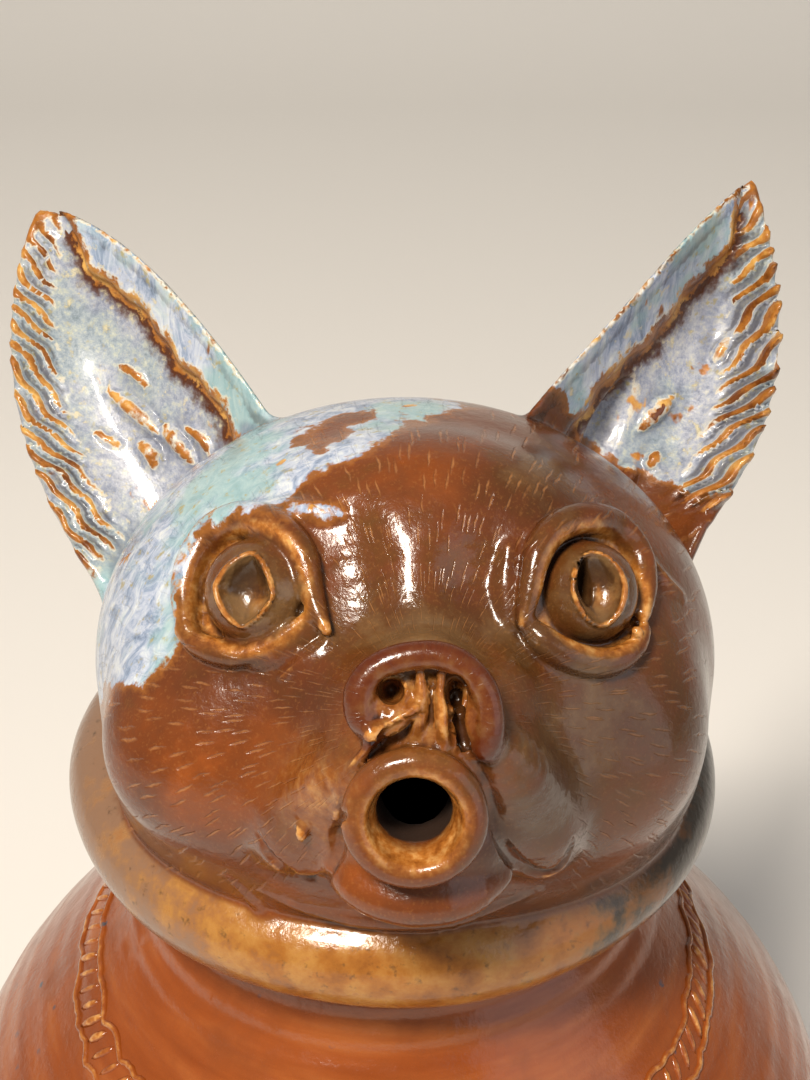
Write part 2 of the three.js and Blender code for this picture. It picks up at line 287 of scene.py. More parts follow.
MIDDLE = 0.028
HEAD_FORMS = [
    (share(0, 0, 0), share(0.5, 0.42, 0.46), 5.0),
    (share(0, -0.02, -0.14), share(0.47, 0.38, 0.42), 5.0),
    (share(0, -0.16, 0), share(0.475, 0.3, 0.38), 5.0),
    (share(MIDDLE, -0.1, 0.36), share(0.18, 0.15, 0.22), 8.0),
    (share(MIDDLE - 0.005, -0.24, 0.4), share(0.14, 0.115, 0.13), 3.0),
]


def head_gap(q):
    gap = np.full(len(q), FAR_AWAY)
    for at, half, blend in HEAD_FORMS:
        gap = smear(gap, egg_gap(q, at, half), blend)
    return gap


# %% [markdown]
# ## The order of work
# The potter first bulges the forehead, muzzle and cheeks, then adds balls and coils for eyes,
# nose and lips, and cuts pupils, nostrils and creases. Two lists hold that order. Each form
# has a box, so that it is measured only where it can reach.

# %% Lists of forms, each one joined on or carved out
broad, details = [], []


def form(pile, join, measure, at, reach, blend):
    at = np.array(at)
    pile.append((join, at - reach, at + reach, blend, measure))


def egg(pile, join, at, half, blend, turn=None):
    half = np.array(half, float)
    form(pile, join, lambda q: egg_gap(q, at, half, turn), at, half.max() + 3 + blend, blend)


def coil(pile, join, points, radii, blend, count=4):
    """A coil, or a cut of that shape, through a few points of the face frame in mm."""
    path = curved(points, count)
    radii = np.interp(np.linspace(0, 1, len(path)), np.linspace(0, 1, len(radii)), radii)
    low, high = path.min(0), path.max(0)
    reach = (high - low) / 2 + max(radii) + 2 + blend
    form(pile, join, lambda q: coil_gap(q, path, radii), (low + high) / 2, reach, blend)


def worked(gap, q, pile):
    """The measure after all the forms of a list, in their order."""
    for join, low, high, blend, measure in pile:
        near = ((q > low) & (q < high)).all(1)
        if near.any():
            gap[near] = join(gap[near], measure(q[near]), blend)
    return gap


def skin_gap(q):
    return worked(head_gap(q), q, broad)


def worked_gap(q):
    return worked(skin_gap(q), q, details)


def turned(angle, axis=2):
    """Three axes, as rows, of a form turned by an angle about one of them."""
    c, s = math.cos(angle), math.sin(angle)
    i, j = [(1, 2), (2, 0), (0, 1)][axis]
    rows = np.eye(3)
    rows[i, i], rows[i, j], rows[j, i], rows[j, j] = c, s, -s, c
    return rows


def seen(pixels, lift=0.0, depth=None, measure=skin_gap):
    """Where the camera's line through each pixel of the photograph meets the clay.

    The place is lifted towards the camera by a thickness of clay, or it lies at a set
    distance out from the middle of the head.
    """
    pixels = np.array(pixels, float)
    aside, upward = pixels[:, 0] - PHOTO_X, PHOTO_Y - pixels[:, 1]
    way = LOOK * FOCAL + np.outer(aside, [1, 0, 0]) + np.outer(upward, OVER)
    way /= np.linalg.norm(way, axis=1, keepdims=True)
    if depth is not None:
        return EYE_POINT + way * ((np.array(depth) - CAMERA_DISTANCE) / way[:, 2])[:, None]
    steps = np.linspace(CLAY_NEAR, CLAY_FAR, CLAY_FAR - CLAY_NEAR + 1)
    line = EYE_POINT + way[:, None] * steps[:, None]
    gaps = measure(line.reshape(-1, 3)).reshape(len(way), -1)
    first = np.where((gaps < 0).any(1), np.argmax(gaps < 0, 1), np.argmin(gaps, 1))
    near, far = steps[first] - 1, steps[first].copy()
    for _ in range(10):
        half = (near + far) / 2
        inside = measure(EYE_POINT + way * half[:, None]) < 0
        far = np.where(inside, half, far)
        near = np.where(inside, near, half)
    at = EYE_POINT + way * near[:, None]
    rise = [measure(at + step) - measure(at - step) for step in np.eye(3) * 0.3]
    slope = np.stack(rise, 1) / 0.6
    facing = np.maximum(-(slope * way).sum(1), 0.5)
    return at - way * (np.array(lift) / facing)[:, None]


def seen_now(pixels, lift=0.0):
    """The same on the clay with all the details that are on it by now."""
    return seen(pixels, lift, measure=worked_gap)


# %% [markdown]
# The forehead bulges over a stop, the crease where the muzzle starts. The muzzle is blunt,
# the cheeks are full, and a shallow valley lies between each eye and the forehead.

# %% Forehead, muzzle and cheeks
egg(broad, smear, share(0.03, 0.15, 0.3), share(0.25, 0.17, 0.14), 6.0)
egg(broad, smear, share(MIDDLE, -0.05, 0.42), share(0.125, 0.115, 0.12), 5.0)
egg(broad, smear, share(-0.27, -0.13, 0.27), share(0.17, 0.15, 0.13), 10.0)
egg(broad, smear, share(0.29, -0.12, 0.25), share(0.14, 0.145, 0.13), 12.0)
stop = [(333, 655), (341, 632), (362, 614), (398, 606), (440, 604), (486, 606), (518, 619), (538, 648)]
coil(broad, carve, seen(stop, 1.6), [1.6, 2.4, 2.8, 3, 3, 2.8, 2.4, 1.6], 3.0)
for valley in ([(336, 515), (345, 560), (350, 612)], [(492, 520), (488, 570), (492, 620)]):
    coil(broad, carve, seen(valley, 4.2), [4, 5.5, 4], 5.0)

# %% [markdown]
# ## Eyes
# Each eye is a ball behind a thick rolled lid. The lid's coil runs on towards the nose as
# a tear duct, and creases lie under it. The pupils are pits with a sharp rim: a diamond in
# one eye, an almond with a slit in the other.


# %% Eyes
RIM_ACROSS = 1.17
RIM_UP = 1.13


def eyeball(pixel, side, size):
    """A ball of clay: its middle, its half widths and its axes across, up and out."""
    out = np.array([side * 0.34, 0.1, 1])
    out /= np.linalg.norm(out)
    across = np.cross([0, 1, 0], out)
    across /= np.linalg.norm(across)
    axes = np.array([across, np.cross(out, across), out])
    middle = seen([pixel], 0.1)[0]
    half = np.array([size, size, size * 0.84])
    egg(details, smear, middle, half, 0.7, axes)
    return middle, half, axes


def lid(pixels, radii, lift, blend=1.3):
    coil(details, smear, seen(pixels, lift), radii, blend)


def pit_gap(q, at, axes, half, power):
    """A bowl with soft corners, pressed into the eyeball."""
    unit = np.abs((q - at) @ axes.T / half)
    flat = (unit[:, 0] ** power + unit[:, 1] ** power) ** (1 / power)
    return (np.hypot(flat, unit[:, 2]) - 1) * min(half)


def pupil(eye, pixel, lean, half, power):
    """A pit in the eyeball at a pixel, with a raised thread of clay round its edge."""
    middle, size, eye_axes = eye
    at = seen([pixel], measure=lambda q: egg_gap(q, middle, size, eye_axes))[0]
    axes = turned(math.radians(lean)) @ eye_axes
    t = np.linspace(0, 2 * np.pi, 41)
    round_x = np.sign(np.cos(t)) * np.abs(np.cos(t)) ** (2 / power) * half[0]
    round_y = np.sign(np.sin(t)) * np.abs(np.sin(t)) ** (2 / power) * half[1]
    rim = at + np.outer(round_x, axes[0]) * RIM_ACROSS + np.outer(round_y, axes[1]) * RIM_UP
    unit = (rim - middle) @ eye_axes.T / size
    unit /= np.linalg.norm(unit, axis=1, keepdims=True)
    coil(details, smear, middle + unit * size @ eye_axes, [0.75], 0.6, 1)
    form(details, carve, lambda q: pit_gap(q, at, axes, half, power), at, 9.0, 0.5)
    return at, axes


left_eye = eyeball((256, 591), -1, 7.5)
upper_lid = [(187, 626), (185, 597), (191, 567), (210, 535), (237, 520), (261, 521)]
upper_lid += [(284, 533), (303, 555), (310, 585), (318, 612), (327, 631)]
lid(upper_lid, [1.5, 2.1, 2.5, 2.7, 2.7, 2.6, 2.4, 2.1, 1.8, 1.4, 0.7], 1.4)
lower_lid = [(184, 632), (198, 644), (215, 651), (233, 655), (251, 653), (269, 646), (289, 632), (309, 616)]
lid(lower_lid, [1.2, 1.7, 1.9, 1.8, 1.6, 1.4, 1.1, 0.7], 1.1)
lid([(255, 665), (275, 658), (293, 646), (314, 628)], [0.5, 1.0, 1.0, 0.5], 0.3)
lid([(283, 677), (305, 661), (331, 641)], [0.4, 0.9, 0.5], 0.0)
lid([(258, 507), (285, 511), (312, 513), (341, 514)], [0.6, 1.7, 1.7, 0.5], -0.4, 1.6)
left_pit, _ = pupil(left_eye, (243, 591), -8.5, np.array([3.9, 5.3, 3.3]), 1.3)

right_eye = eyeball((588, 592), 1, 7.3)
upper_lid = [(524, 620), (530, 591), (537, 557), (549, 535), (568, 522), (590, 518)]
upper_lid += [(611, 523), (629, 538), (641, 560), (645, 588), (643, 613)]
lid(upper_lid, [1.1, 1.6, 2.0, 2.2, 2.3, 2.3, 2.3, 2.2, 2.1, 1.8, 1.2], 1.6)
lower_lid = [(531, 628), (543, 639), (560, 651), (580, 659), (603, 662), (622, 657), (637, 645), (645, 630)]
lid(lower_lid, [1.3, 2.0, 2.2, 2.2, 2.1, 1.9, 1.5, 0.9], 1.3)
lid([(509, 549), (505, 585), (508, 622)], [0.5, 1.4, 0.5], 0.0, 1.8)
lid([(650, 560), (664, 580), (682, 596)], [0.4, 1.0, 0.4], 0.0, 1.5)
egg(details, smear, seen([(637, 632)], 2.4)[0], (0.9, 0.9, 0.9), 0.3)
right_pit, right_axes = pupil(right_eye, (600, 588), 7, np.array([3.4, 5.5, 3.0]), 1.6)
slit_at = seen([(589, 582)], depth=[right_pit[2] - 1.0])[0]
slit_axes = turned(math.radians(3)) @ right_axes
egg(details, carve, slit_at, (1.25, 3.3, 5.0), 0.3, slit_axes)

# %% [markdown]
# ## Nose
# A soft button of clay with a thick coil bent round it like a horseshoe. Two thin ridges
# run down its middle and a third one beside them. The right nostril, between the last two,
# runs on into a slit like a keyhole.


# %% Nose
def nose_coil(pixels, depth, radii, blend):
    places = seen(pixels, depth=depth)
    coil(details, smear, places, radii, blend)
    return curved(places)


egg(details, smear, share(MIDDLE, -0.052, 0.525), share(0.088, 0.062, 0.07), 2.0)
egg(details, smear, share(MIDDLE, -0.11, 0.52), share(0.072, 0.055, 0.068), 1.5)
horseshoe = [(373, 731), (361, 716), (360, 693), (371, 673), (391, 661), (415, 655.5)]
horseshoe += [(442, 656), (465, 667), (482, 686), (490, 709), (490, 731), (484, 749)]
nose_path = nose_coil(
    horseshoe,
    [59.5, 60.2, 60.8, 61.2, 61.5, 61.6, 61.6, 61.4, 61, 60.5, 60, 59.2],
    [1.7, 2.1, 2.2, 2.0, 1.9, 1.9, 1.9, 1.9, 1.9, 1.8, 1.8, 1.3],
    0.6,
)
nose_radii = np.full(len(nose_path), 1.9)
egg(details, smear, seen([(388, 703)], depth=[58.6])[0], (4.0, 3.5, 2.9), 0.8, turned(0.5))
for pixels, depths, thin, thick in (
    ([(420, 672), (421.5, 694), (420, 718), (415, 738)], [60.2, 60.1, 59.7, 58.4], 0.6, 0.9),
    ([(441, 674), (442, 698), (442, 722), (445, 745)], [60.2, 60.1, 59.7, 58.4], 0.6, 0.9),
    ([(468, 680), (474, 700), (472, 722), (478, 742)], [59.4, 59.3, 59.1, 58.6], 0.7, 1.0),
):
    nose_coil(pixels, depths, [thin, thick, thick, thin], 0.9)
egg(details, carve, seen([(391, 691)], depth=[61])[0], (1.75, 1.75, 5.5), 0.6)
egg(details, carve, seen([(456, 693)], depth=[61])[0], (1.5, 2.3, 5.5), 0.5)
nostril_rim = [(372, 733), (386, 728), (401, 720), (415, 708)]
coil(details, smear, seen_now(nostril_rim, 0.3), [1.3, 1.3, 1.2, 0.7], 0.6)
keyhole = seen_now([(457, 698), (459, 714), (463, 729), (467, 743), (474, 754)], -0.5)
coil(details, carve, keyhole, [1.3, 0.9, 1.4, 1.7, 0.9], 0.3)
under_rim = [(373, 743), (388, 735), (404, 726), (418, 716)]
coil(details, carve, seen_now(under_rim, 0.1), [0.7, 1.0, 0.9, 0.4], 0.3)

# %% [markdown]
# ## Mouth, flews and chin
# The mouth is a short tube with a fat rolled lip, turned a little below the face's gaze.
# Flews, the loose upper lips, hang at both sides of it, and folds lie under the chin.

# %% Mouth
SPOUT_BORE = 11.0
SPOUT_ROOT = 14.0
LIP = 4.2
MOUTH_AT = seen([(414.5, 818)], depth=[58.5])[0]
MOUTH_TURN = math.radians(17)
MOUTH_OUT = np.array([0, -math.sin(MOUTH_TURN), math.cos(MOUTH_TURN)])
MOUTH_DEPTH = 34.0
MOUTH_UP = np.cross(MOUTH_OUT, [1, 0, 0])


def mouth_coordinates(q):
    d = q - MOUTH_AT
    return d @ MOUTH_OUT, d[:, 0], d @ MOUTH_UP


def mouth_tube_gap(q):
    along, x, y = mouth_coordinates(q)
    r = np.hypot(x, y)
    tube = np.maximum(r - (SPOUT_BORE / 2 + LIP * 0.8), np.maximum(along, -MOUTH_DEPTH / 2 - along))
    lip = np.hypot(r - (SPOUT_BORE + LIP) / 2, along) - LIP / 2
    return smear(tube, lip, 0.8)


def mouth_bore_gap(q):
    along, x, y = mouth_coordinates(q)
    funnel = 0.9 * ramp(along, -3.5, 1.5)
    root = (SPOUT_ROOT - SPOUT_BORE) / 2 * ramp(-along, 2, MOUTH_DEPTH)
    radius = SPOUT_BORE / 2 - 0.5 + funnel + root
    return np.maximum(np.hypot(x, y * 1.06) - radius, -MOUTH_DEPTH - along)


# %% Flews and chin folds
pouch = [(333, 866), (350, 882), (376, 894), (410, 901), (445, 900), (474, 893), (500, 878)]
coil(details, smear, seen(pouch, 0.3), [1.4, 2.4, 3.2, 3.5, 3.3, 2.6, 1.4], 2.5)
right_flew = [(498, 748), (517, 772), (531, 797), (539, 820), (538, 842)]
coil(details, smear, seen(right_flew, 0.2), [2.6, 4.6, 5.6, 5.8, 5.2], 5.0)
left_flew = [(360, 756), (340, 778), (318, 800), (300, 820), (294, 836)]
coil(details, smear, seen(left_flew, 0.2), [2.4, 4.2, 5.4, 5.8, 5.4], 4.5)
form(details, smear, mouth_tube_gap, MOUTH_AT - MOUTH_OUT * 8, 22.0, 0.9)
flew_edges = [
    (
        [(478, 765), (489, 790), (495, 815), (504, 845), (521, 867), (545, 875), (564, 864), (574, 840)],
        [0.5, 0.8, 1.0, 1.1, 1.1, 1.0, 0.8, 0.3],
    ),
    ([(343, 815), (340, 830), (336, 850), (329, 872)], [0.5, 1.2, 1.4, 0.8]),
    ([(258, 836), (268, 856), (286, 873), (310, 879), (328, 878)], [0.4, 0.9, 1.1, 1.0, 0.7]),
]
for places, radii in flew_edges:
    coil(details, carve, seen_now(places, 0.2), radii, 0.5)
flew_thread = [(371, 743), (354, 768), (341, 792), (336, 818)]
coil(details, smear, seen_now(flew_thread, 0.1), [0.4, 0.9, 0.9, 0.4], 0.8)
egg(details, smear, seen_now([(302, 831)], 0.4)[0], (0.9, 1.5, 0.8), 0.6)
chin_folds = [
    (
        [(262, 888), (300, 904), (340, 912), (380, 917), (420, 918), (460, 914), (500, 902), (540, 886)],
        1.9,
        -0.7,
    ),
    ([(225, 872), (262, 905), (300, 922), (340, 930), (385, 928), (430, 922)], 1.8, -0.6),
]
for places, radius, lift in chin_folds:
    coil(details, smear, seen(places, lift), [0.3, radius, radius, 0.3], 1.0)

# %% [markdown]
# ## Ears
# An ear is a leaf of clay, wide at its root and pointed, cupped forward. In its own frame,
# along, across and out, it is a bent sheet with round edges. A flat hem with a wavy inner
# edge is laid along its inner side, and slanting flutes are pressed along the outer one.

# %% Ears
EARS = [
    dict(side=-1, base=(-0.348, 0.222, -0.01), tip=(-0.63, 0.76, -0.1), half=0.198, taper=(2.6, 0.8)),
    dict(side=1, base=(0.346, 0.29, -0.02), tip=(0.6, 0.815, -0.1), half=0.178, taper=(2, 0.9)),
]
EARS[0].update(bow=0.018, cup=0.085, flutes=(0.95, 0.31, 2.5), press=0.45, hem=2.1, blend=2.5)
EARS[1].update(bow=0.04, cup=0.12, flutes=(0.875, 0.48, 3.0), press=0.7, hem=1.8, blend=1.3)
EAR_THICK = 5.6
EAR_TIP_THICK = 3.4
STRIP_SWELL = 1.4


def ear_axes(ear):
    base, tip = share(*ear["base"]), share(*ear["tip"])
    axis = tip - base
    length = np.linalg.norm(axis)
    axis /= length
    inward = np.cross([0, 0, 1], axis) * ear["side"]
    inward /= np.linalg.norm(inward)
    return base, length, axis, inward, np.cross(axis, inward) * ear["side"]


def ear_place(ear, q):
    """How far along, across and out of an ear each point lies, and the leaf's half width."""
    base, length, axis, inward, front = ear_axes(ear)
    d = q - base
    along = d @ axis / length
    up = np.clip(along, 0, 1)
    half = ear["half"] * HEAD_WIDTH * (1 - up ** ear["taper"][0]) ** ear["taper"][1]
    aside = d @ inward + ear["bow"] * HEAD_WIDTH * np.sin(np.pi * up)
    across = np.clip(aside / np.maximum(half, 0.5), -1.3, 1.3)
    tipward = 1 - ramp(up, 0.55, 1)
    cup = ear["cup"] * HEAD_WIDTH * tipward
    out = d @ front - (0.18 * half * across - cup * (1 - across**2))
    slope = 2 * cup * across / np.maximum(half, 4) + 0.18
    return along, up, aside, half, out / np.sqrt(1 + slope**2), length


def hem_width(far, up):
    """The hem's width in millimetres, wavy along its inner edge."""
    return (6.2 + 0.5 * np.sin(far * 0.3) + 0.3 * np.sin(far * 0.83)) * (1 - ramp(up, 0.75, 0.98))


def ear_gap(ear, q):
    along, up, aside, half, out, length = ear_place(ear, q)
    far = along * length
    r = (EAR_THICK + (EAR_TIP_THICK - EAR_THICK) * up) / 2
    sheet = np.hypot(out, np.maximum(np.abs(aside) - (half - r), 0)) - r
    across, down, pitch = ear["flutes"]
    wave = (aside * across + far * down) / pitch + 0.3 * np.sin(far * 0.27) + 0.12 * np.sin(far * 0.9)
    ripple = np.sin(2 * np.pi * wave) + 0.12 * np.sin(4.6 * np.pi * wave + 1)
    fade = (1 - ramp(aside + half, 5.5, 9.5)) * ramp(aside + half, -1.5, 1.5) * ramp(out, -0.5, 0.9)
    fade = fade * ramp(up, 0.0, 0.1) * (1 - ramp(up, 0.88, 0.99))
    sheet = sheet - ear["press"] * ripple * fade
    width = hem_width(far, up)
    over = np.abs(aside - (half - width / 2)) - (width / 2 - 1)
    thick = np.abs(out - 0.35 * r) - (r * 0.65 + ear["hem"] - 1)
    hem = np.hypot(np.maximum(over, 0), np.maximum(thick, 0)) + np.minimum(np.maximum(over, thick), 0) - 1
    leaf = smear(sheet, hem, 0.6) + np.maximum(along - 1, 0) * length
    return np.maximum(leaf, (-0.16 - along) * length)


def ear_form(ear):
    middle = (share(*ear["base"]) + share(*ear["tip"])) / 2
    form(details, smear, lambda q: ear_gap(ear, q), middle, np.array([34.0, 50.0, 26.0]), ear["blend"])


def dabs(ear, *strips):
    """Small strips of clay that the potter pressed onto the ear, each with its thickness."""
    for pixels, size in strips:
        places = seen(pixels, measure=lambda q: ear_gap(ear, q))
        coil(details, smear, places, [0.4, size * STRIP_SWELL, size * STRIP_SWELL, 0.4], 0.9)


for ear in EARS:
    ear_form(ear)
left_ear, right_ear = EARS
dabs(
    left_ear,
    ([(110, 391), (128, 406), (146, 420), (163, 436)], 1.0),
    ([(122, 366), (136, 374), (146, 385)], 0.7),
    ([(165, 426), (178, 442), (194, 463)], 1.1),
    ([(186, 428), (202, 438), (212, 456)], 0.7),
    ([(140, 444), (151, 452), (156, 470)], 1.1),
    ([(98, 433), (108, 440), (118, 445)], 0.5),
)
pocket = seen([(609, 428)], 0.6, measure=lambda q: ear_gap(right_ear, q))[0]
egg(details, carve, pocket, (4.2, 9.5, 3.4), 0.8, turned(-0.45))
dabs(
    right_ear,
    ([(672, 398), (655, 412), (638, 430)], 1.2),
    ([(728, 340), (722, 350), (715, 361)], 0.8),
    ([(633, 468), (624, 480), (614, 490)], 1.2),
    ([(657, 455), (650, 466)], 0.9),
)

# %% [markdown]
# ## The filling mouth
# Water and steam need a way in, so behind the ears an oval hole with a low lip opens the
# hollow head. The photograph doesn't show it; it stays plain.

# %% Filling mouth
FILL_WIDTH = 36.0
FILL_DEPTH = 35.0
FILL_LIP = 4.0
FILL_TURN = math.radians(51)
FILL_OUT = np.array([0, math.sin(FILL_TURN), math.cos(FILL_TURN)])
HEAD_RISE = 28.6
fill_from = np.array([0, 0, COLLAR_HEIGHT + HEAD_RISE * 0.6])
fill_reach = np.linspace(60, 0, 481)
fill_line = fill_from + FILL_OUT * fill_reach[:, None]
fill_clay = head_gap((fill_line - HEAD_CENTRE) @ FACE.T) < 0
FILL_AT = fill_line[int(np.argmax(fill_clay))]
FILL_UP = np.cross(FILL_OUT, [1, 0, 0])


def fill_coordinates(p):
    d = p - FILL_AT
    return d @ FILL_OUT, d[:, 0], d @ FILL_UP * FILL_WIDTH / FILL_DEPTH


def fill_lip_gap(p):
    along, x, y = fill_coordinates(p)
    return np.hypot(np.hypot(x, y) - (FILL_WIDTH + FILL_LIP) / 2, along) - FILL_LIP / 2


def fill_hole_gap(p):
    along, x, y = fill_coordinates(p)
    return np.maximum(np.hypot(x, y) - FILL_WIDTH / 2, np.abs(along) - 24)


# %% [markdown]
# ## All of it as one measure
# The jug and the head are joined, the hollows come out, and the carved places last.

# %% Distance outside the finished clay
HEAD_LEVEL = 138.0


def clay_gap(p):
    gap = smear(jug_gap(p), collar_gap(p), 2.5)
    high = p[:, 2] > HEAD_LEVEL
    behind = p[:, 1] > 25
    gap[behind] = smear(gap[behind], handle_gap(p[behind]), 4.0)
    q = (p[high] - HEAD_CENTRE) @ FACE.T
    base = head_gap(q)
    head = worked(worked(base.copy(), q, broad), q, details)
    head = smear(head, fill_lip_gap(p[high]), 2.5)
    upper = smear(gap[high], head, 1.6)
    hollow = hollow_gap(p)
    hollow[high] = smear(hollow[high], np.maximum(base + WALL, -40), 3.0)
    gap[high] = upper
    gap = carve(gap, hollow, 1.0)
    if high.any():
        some = carve(gap[high], mouth_bore_gap(q), 1.2)
        gap[high] = carve(some, fill_hole_gap(p[high]), 1.5)
    return gap


# %% [markdown]
# ## Drawing the skin
# The measure is taken on a grid that is fine at the face and coarser at the plain belly.
# Every grid cell that the surface crosses gets one vertex, and every grid edge that it
# crosses gets one face between four of them. This is called surface nets.


# %% Grid and surface nets
def stops(*parts):
    rows = [np.arange(low, high, step) for low, high, step in parts]
    return np.concatenate(rows).astype(np.float32)


GRID_X = stops((-89, -33, 0.9), (-33, 38, 0.6), (38, 89, 0.9))
GRID_Y = stops((-90, -78, 0.9), (-78, -34, 0.6), (-34, 44, 0.85), (44, 119, 1.5))
GRID_Z = stops((-3, 112, 1.9), (112, 160, 1.3), (160, 184, 0.8), (184, 242, 0.6), (242, 262, 0.85))


def measured(points, chunk=400000):
    starts = range(0, len(points), chunk)
    return np.concatenate([clay_gap(points[i : i + chunk].astype(float)) for i in starts])


def clay_on_grid():
    """The measure on every grid point near the surface, and its sign everywhere else."""
    step = 4
    cx, cy, cz = GRID_X[::step], GRID_Y[::step], GRID_Z[::step]
    coarse_points = np.stack(np.meshgrid(cx, cy, cz, indexing="ij"), -1).reshape(-1, 3)
    coarse = measured(coarse_points).reshape(len(cx), len(cy), len(cz))
    reach = 7.0
    near = np.abs(coarse) < reach
    grown = near.copy()
    for a in range(3):
        for shift in (1, -1):
            grown |= np.roll(near, shift, a)
    full = np.empty((len(GRID_X), len(GRID_Y), len(GRID_Z)), np.float32)
    pick = [np.minimum((np.arange(n) + step // 2) // step, m - 1) for n, m in zip(full.shape, coarse.shape)]
    full[:] = coarse[np.ix_(*pick)]
    fine = grown[np.ix_(*pick)]
    i, j, k = np.nonzero(fine)
    full[i, j, k] = measured(np.stack([GRID_X[i], GRID_Y[j], GRID_Z[k]], 1))
    print("grid", full.shape, "measured", len(i))
    return full


def surface_nets(values):
    nx, ny, nz = values.shape
    inside = values < 0
    corner = [(a, b, c) for a in (0, 1) for b in (0, 1) for c in (0, 1)]
    count = np.zeros((nx - 1, ny - 1, nz - 1), np.uint8)
    for a, b, c in corner:
        count += inside[a : nx - 1 + a, b : ny - 1 + b, c : nz - 1 + c]
    i, j, k = np.nonzero((count > 0) & (count < 8))
    ids = np.full(count.shape, -1, np.int32)
    ids[i, j, k] = np.arange(len(i))
    total = np.zeros((len(i), 3), np.float32)
    hits = np.zeros(len(i), np.float32)
    for one in corner:
        for two in corner:
            if sum(two) - sum(one) != 1 or sum(abs(s - t) for s, t in zip(one, two)) != 1:
                continue
            ends = []
            for a, b, c in (one, two):
                place = np.stack([GRID_X[i + a], GRID_Y[j + b], GRID_Z[k + c]], 1)
                ends.append((values[i + a, j + b, k + c], place))
            (va, pa), (vb, pb) = ends
            cross = (va < 0) != (vb < 0)
            t = np.where(cross, va / np.where(cross, va - vb, 1), 0)
            total += np.where(cross[:, None], pa + (pb - pa) * t[:, None], 0)
            hits += cross
    vertices = total / hits[:, None]
    quads = []
    for axis in range(3):
        low = [slice(1, -1)] * 3
        high = [slice(1, -1)] * 3
        low[axis], high[axis] = slice(0, -1), slice(1, None)
        a, b = inside[tuple(low)], inside[tuple(high)]
        place = np.nonzero(a != b)
        starts_inside = a[place]
        cell = [place[n] + (0 if n == axis else 1) for n in range(3)]
        one, two = [n for n in range(3) if n != axis]
        ring = []
        for back_one, back_two in ((1, 1), (0, 1), (0, 0), (1, 0)):
            c = list(cell)
            c[one] = c[one] - back_one
            c[two] = c[two] - back_two
            ring.append(ids[tuple(c)])
        quad = np.stack(ring, 1)
        flip = starts_inside if axis == 1 else ~starts_inside
        quad[flip] = quad[flip][:, ::-1]
        quads.append(quad)
    return vertices, np.concatenate(quads)


values = clay_on_grid()
net_vertices, net_quads = surface_nets(values)
print("skin", len(net_vertices), "vertices", len(net_quads), "faces")


# %% [markdown]
# The skin has far more faces than it needs on the smooth jug. Decimate removes them where
# the form is flat and keeps them at lids and lips; a vertex group tells it where to be
# careful. A weight of 1 would lock a vertex for good and leave too few to remove elsewhere,
# so the face gets a little less. The vertices are then moved onto the measured surface.


# %% From the net to a lighter mesh
def mesh_of(name, vertices, faces):
    mesh = bpy.data.meshes.new(name)
    mesh.vertices.add(len(vertices))
    mesh.vertices.foreach_set("co", (vertices * MM).astype(np.float32).ravel())
    size = faces.shape[1]
    mesh.loops.add(faces.size)
    mesh.loops.foreach_set("vertex_index", faces.astype(np.int32).ravel())
    mesh.polygons.add(len(faces))
    mesh.polygons.foreach_set("loop_start", np.arange(0, faces.size, size, dtype=np.int32))
    mesh.update(calc_edges=True)
    return mesh


def placed(name, mesh):
    made = bpy.data.objects.new(name, mesh)
    bpy.context.scene.collection.objects.link(made)
    return made


def coordinates(mesh):
    co = np.empty(len(mesh.vertices) * 3, np.float32)
    mesh.vertices.foreach_get("co", co)
    return co.reshape(-1, 3).astype(float) / MM


def slopes(points, step=0.12):
    """The measure's gradient, which is the direction out of the clay."""
    rows = []
    for axis in np.eye(3) * step:
        rows.append((measured(points + axis) - measured(points - axis)) / (2 * step))
    return np.stack(rows, 1)


def settled(points, rounds=2, longest=0.5):
    """The points moved onto the surface, each by no more than half a millimetre a round."""
    for _ in range(rounds):
        gap = measured(points)
        slope = slopes(points)
        move = -gap[:, None] * slope / np.maximum((slope**2).sum(1), 0.25)[:, None]
        far = np.maximum(np.linalg.norm(move, axis=1, keepdims=True), 1e-9)
        points = points + move * np.minimum(1, longest / far)
    return points


FACES_KEPT = 194000
FACE_CARE = 0.95
JUG_CARE = 0.2
HOLLOW_CARE = 0.05
CARE_STRENGTH = 1e-4

pitcher = placed("pitcher_clay", mesh_of("pitcher_clay", net_vertices, net_quads))
co = coordinates(pitcher.data)
face_place = (co - HEAD_CENTRE) @ FACE.T / HEAD_WIDTH
base_gap = np.full(len(co), 50.0)
top = co[:, 2] > HEAD_LEVEL
base_gap[top] = head_gap(face_place[top] * HEAD_WIDTH)
is_face = (base_gap > -2.5) & (face_place[:, 2] > -0.25)
care = np.where(is_face, FACE_CARE, JUG_CARE)
care[(base_gap <= -2.5) | (hollow_gap(co) < 1.0)] = HOLLOW_CARE
group = pitcher.vertex_groups.new(name="care")
for level in np.unique(care):
    group.add(np.nonzero(care == level)[0].tolist(), float(level), "REPLACE")
decimate = pitcher.modifiers.new("fewer faces", "DECIMATE")
decimate.ratio = FACES_KEPT / (2 * len(net_quads))
decimate.vertex_group = "care"
decimate.invert_vertex_group = True
decimate.vertex_group_factor = CARE_STRENGTH
depsgraph = bpy.context.evaluated_depsgraph_get()
lighter = bpy.data.meshes.new_from_object(pitcher.evaluated_get(depsgraph))
pitcher.modifiers.clear()
pitcher.vertex_groups.clear()
pitcher.data = lighter
print("lighter", len(lighter.vertices), "vertices", len(lighter.polygons), "faces")

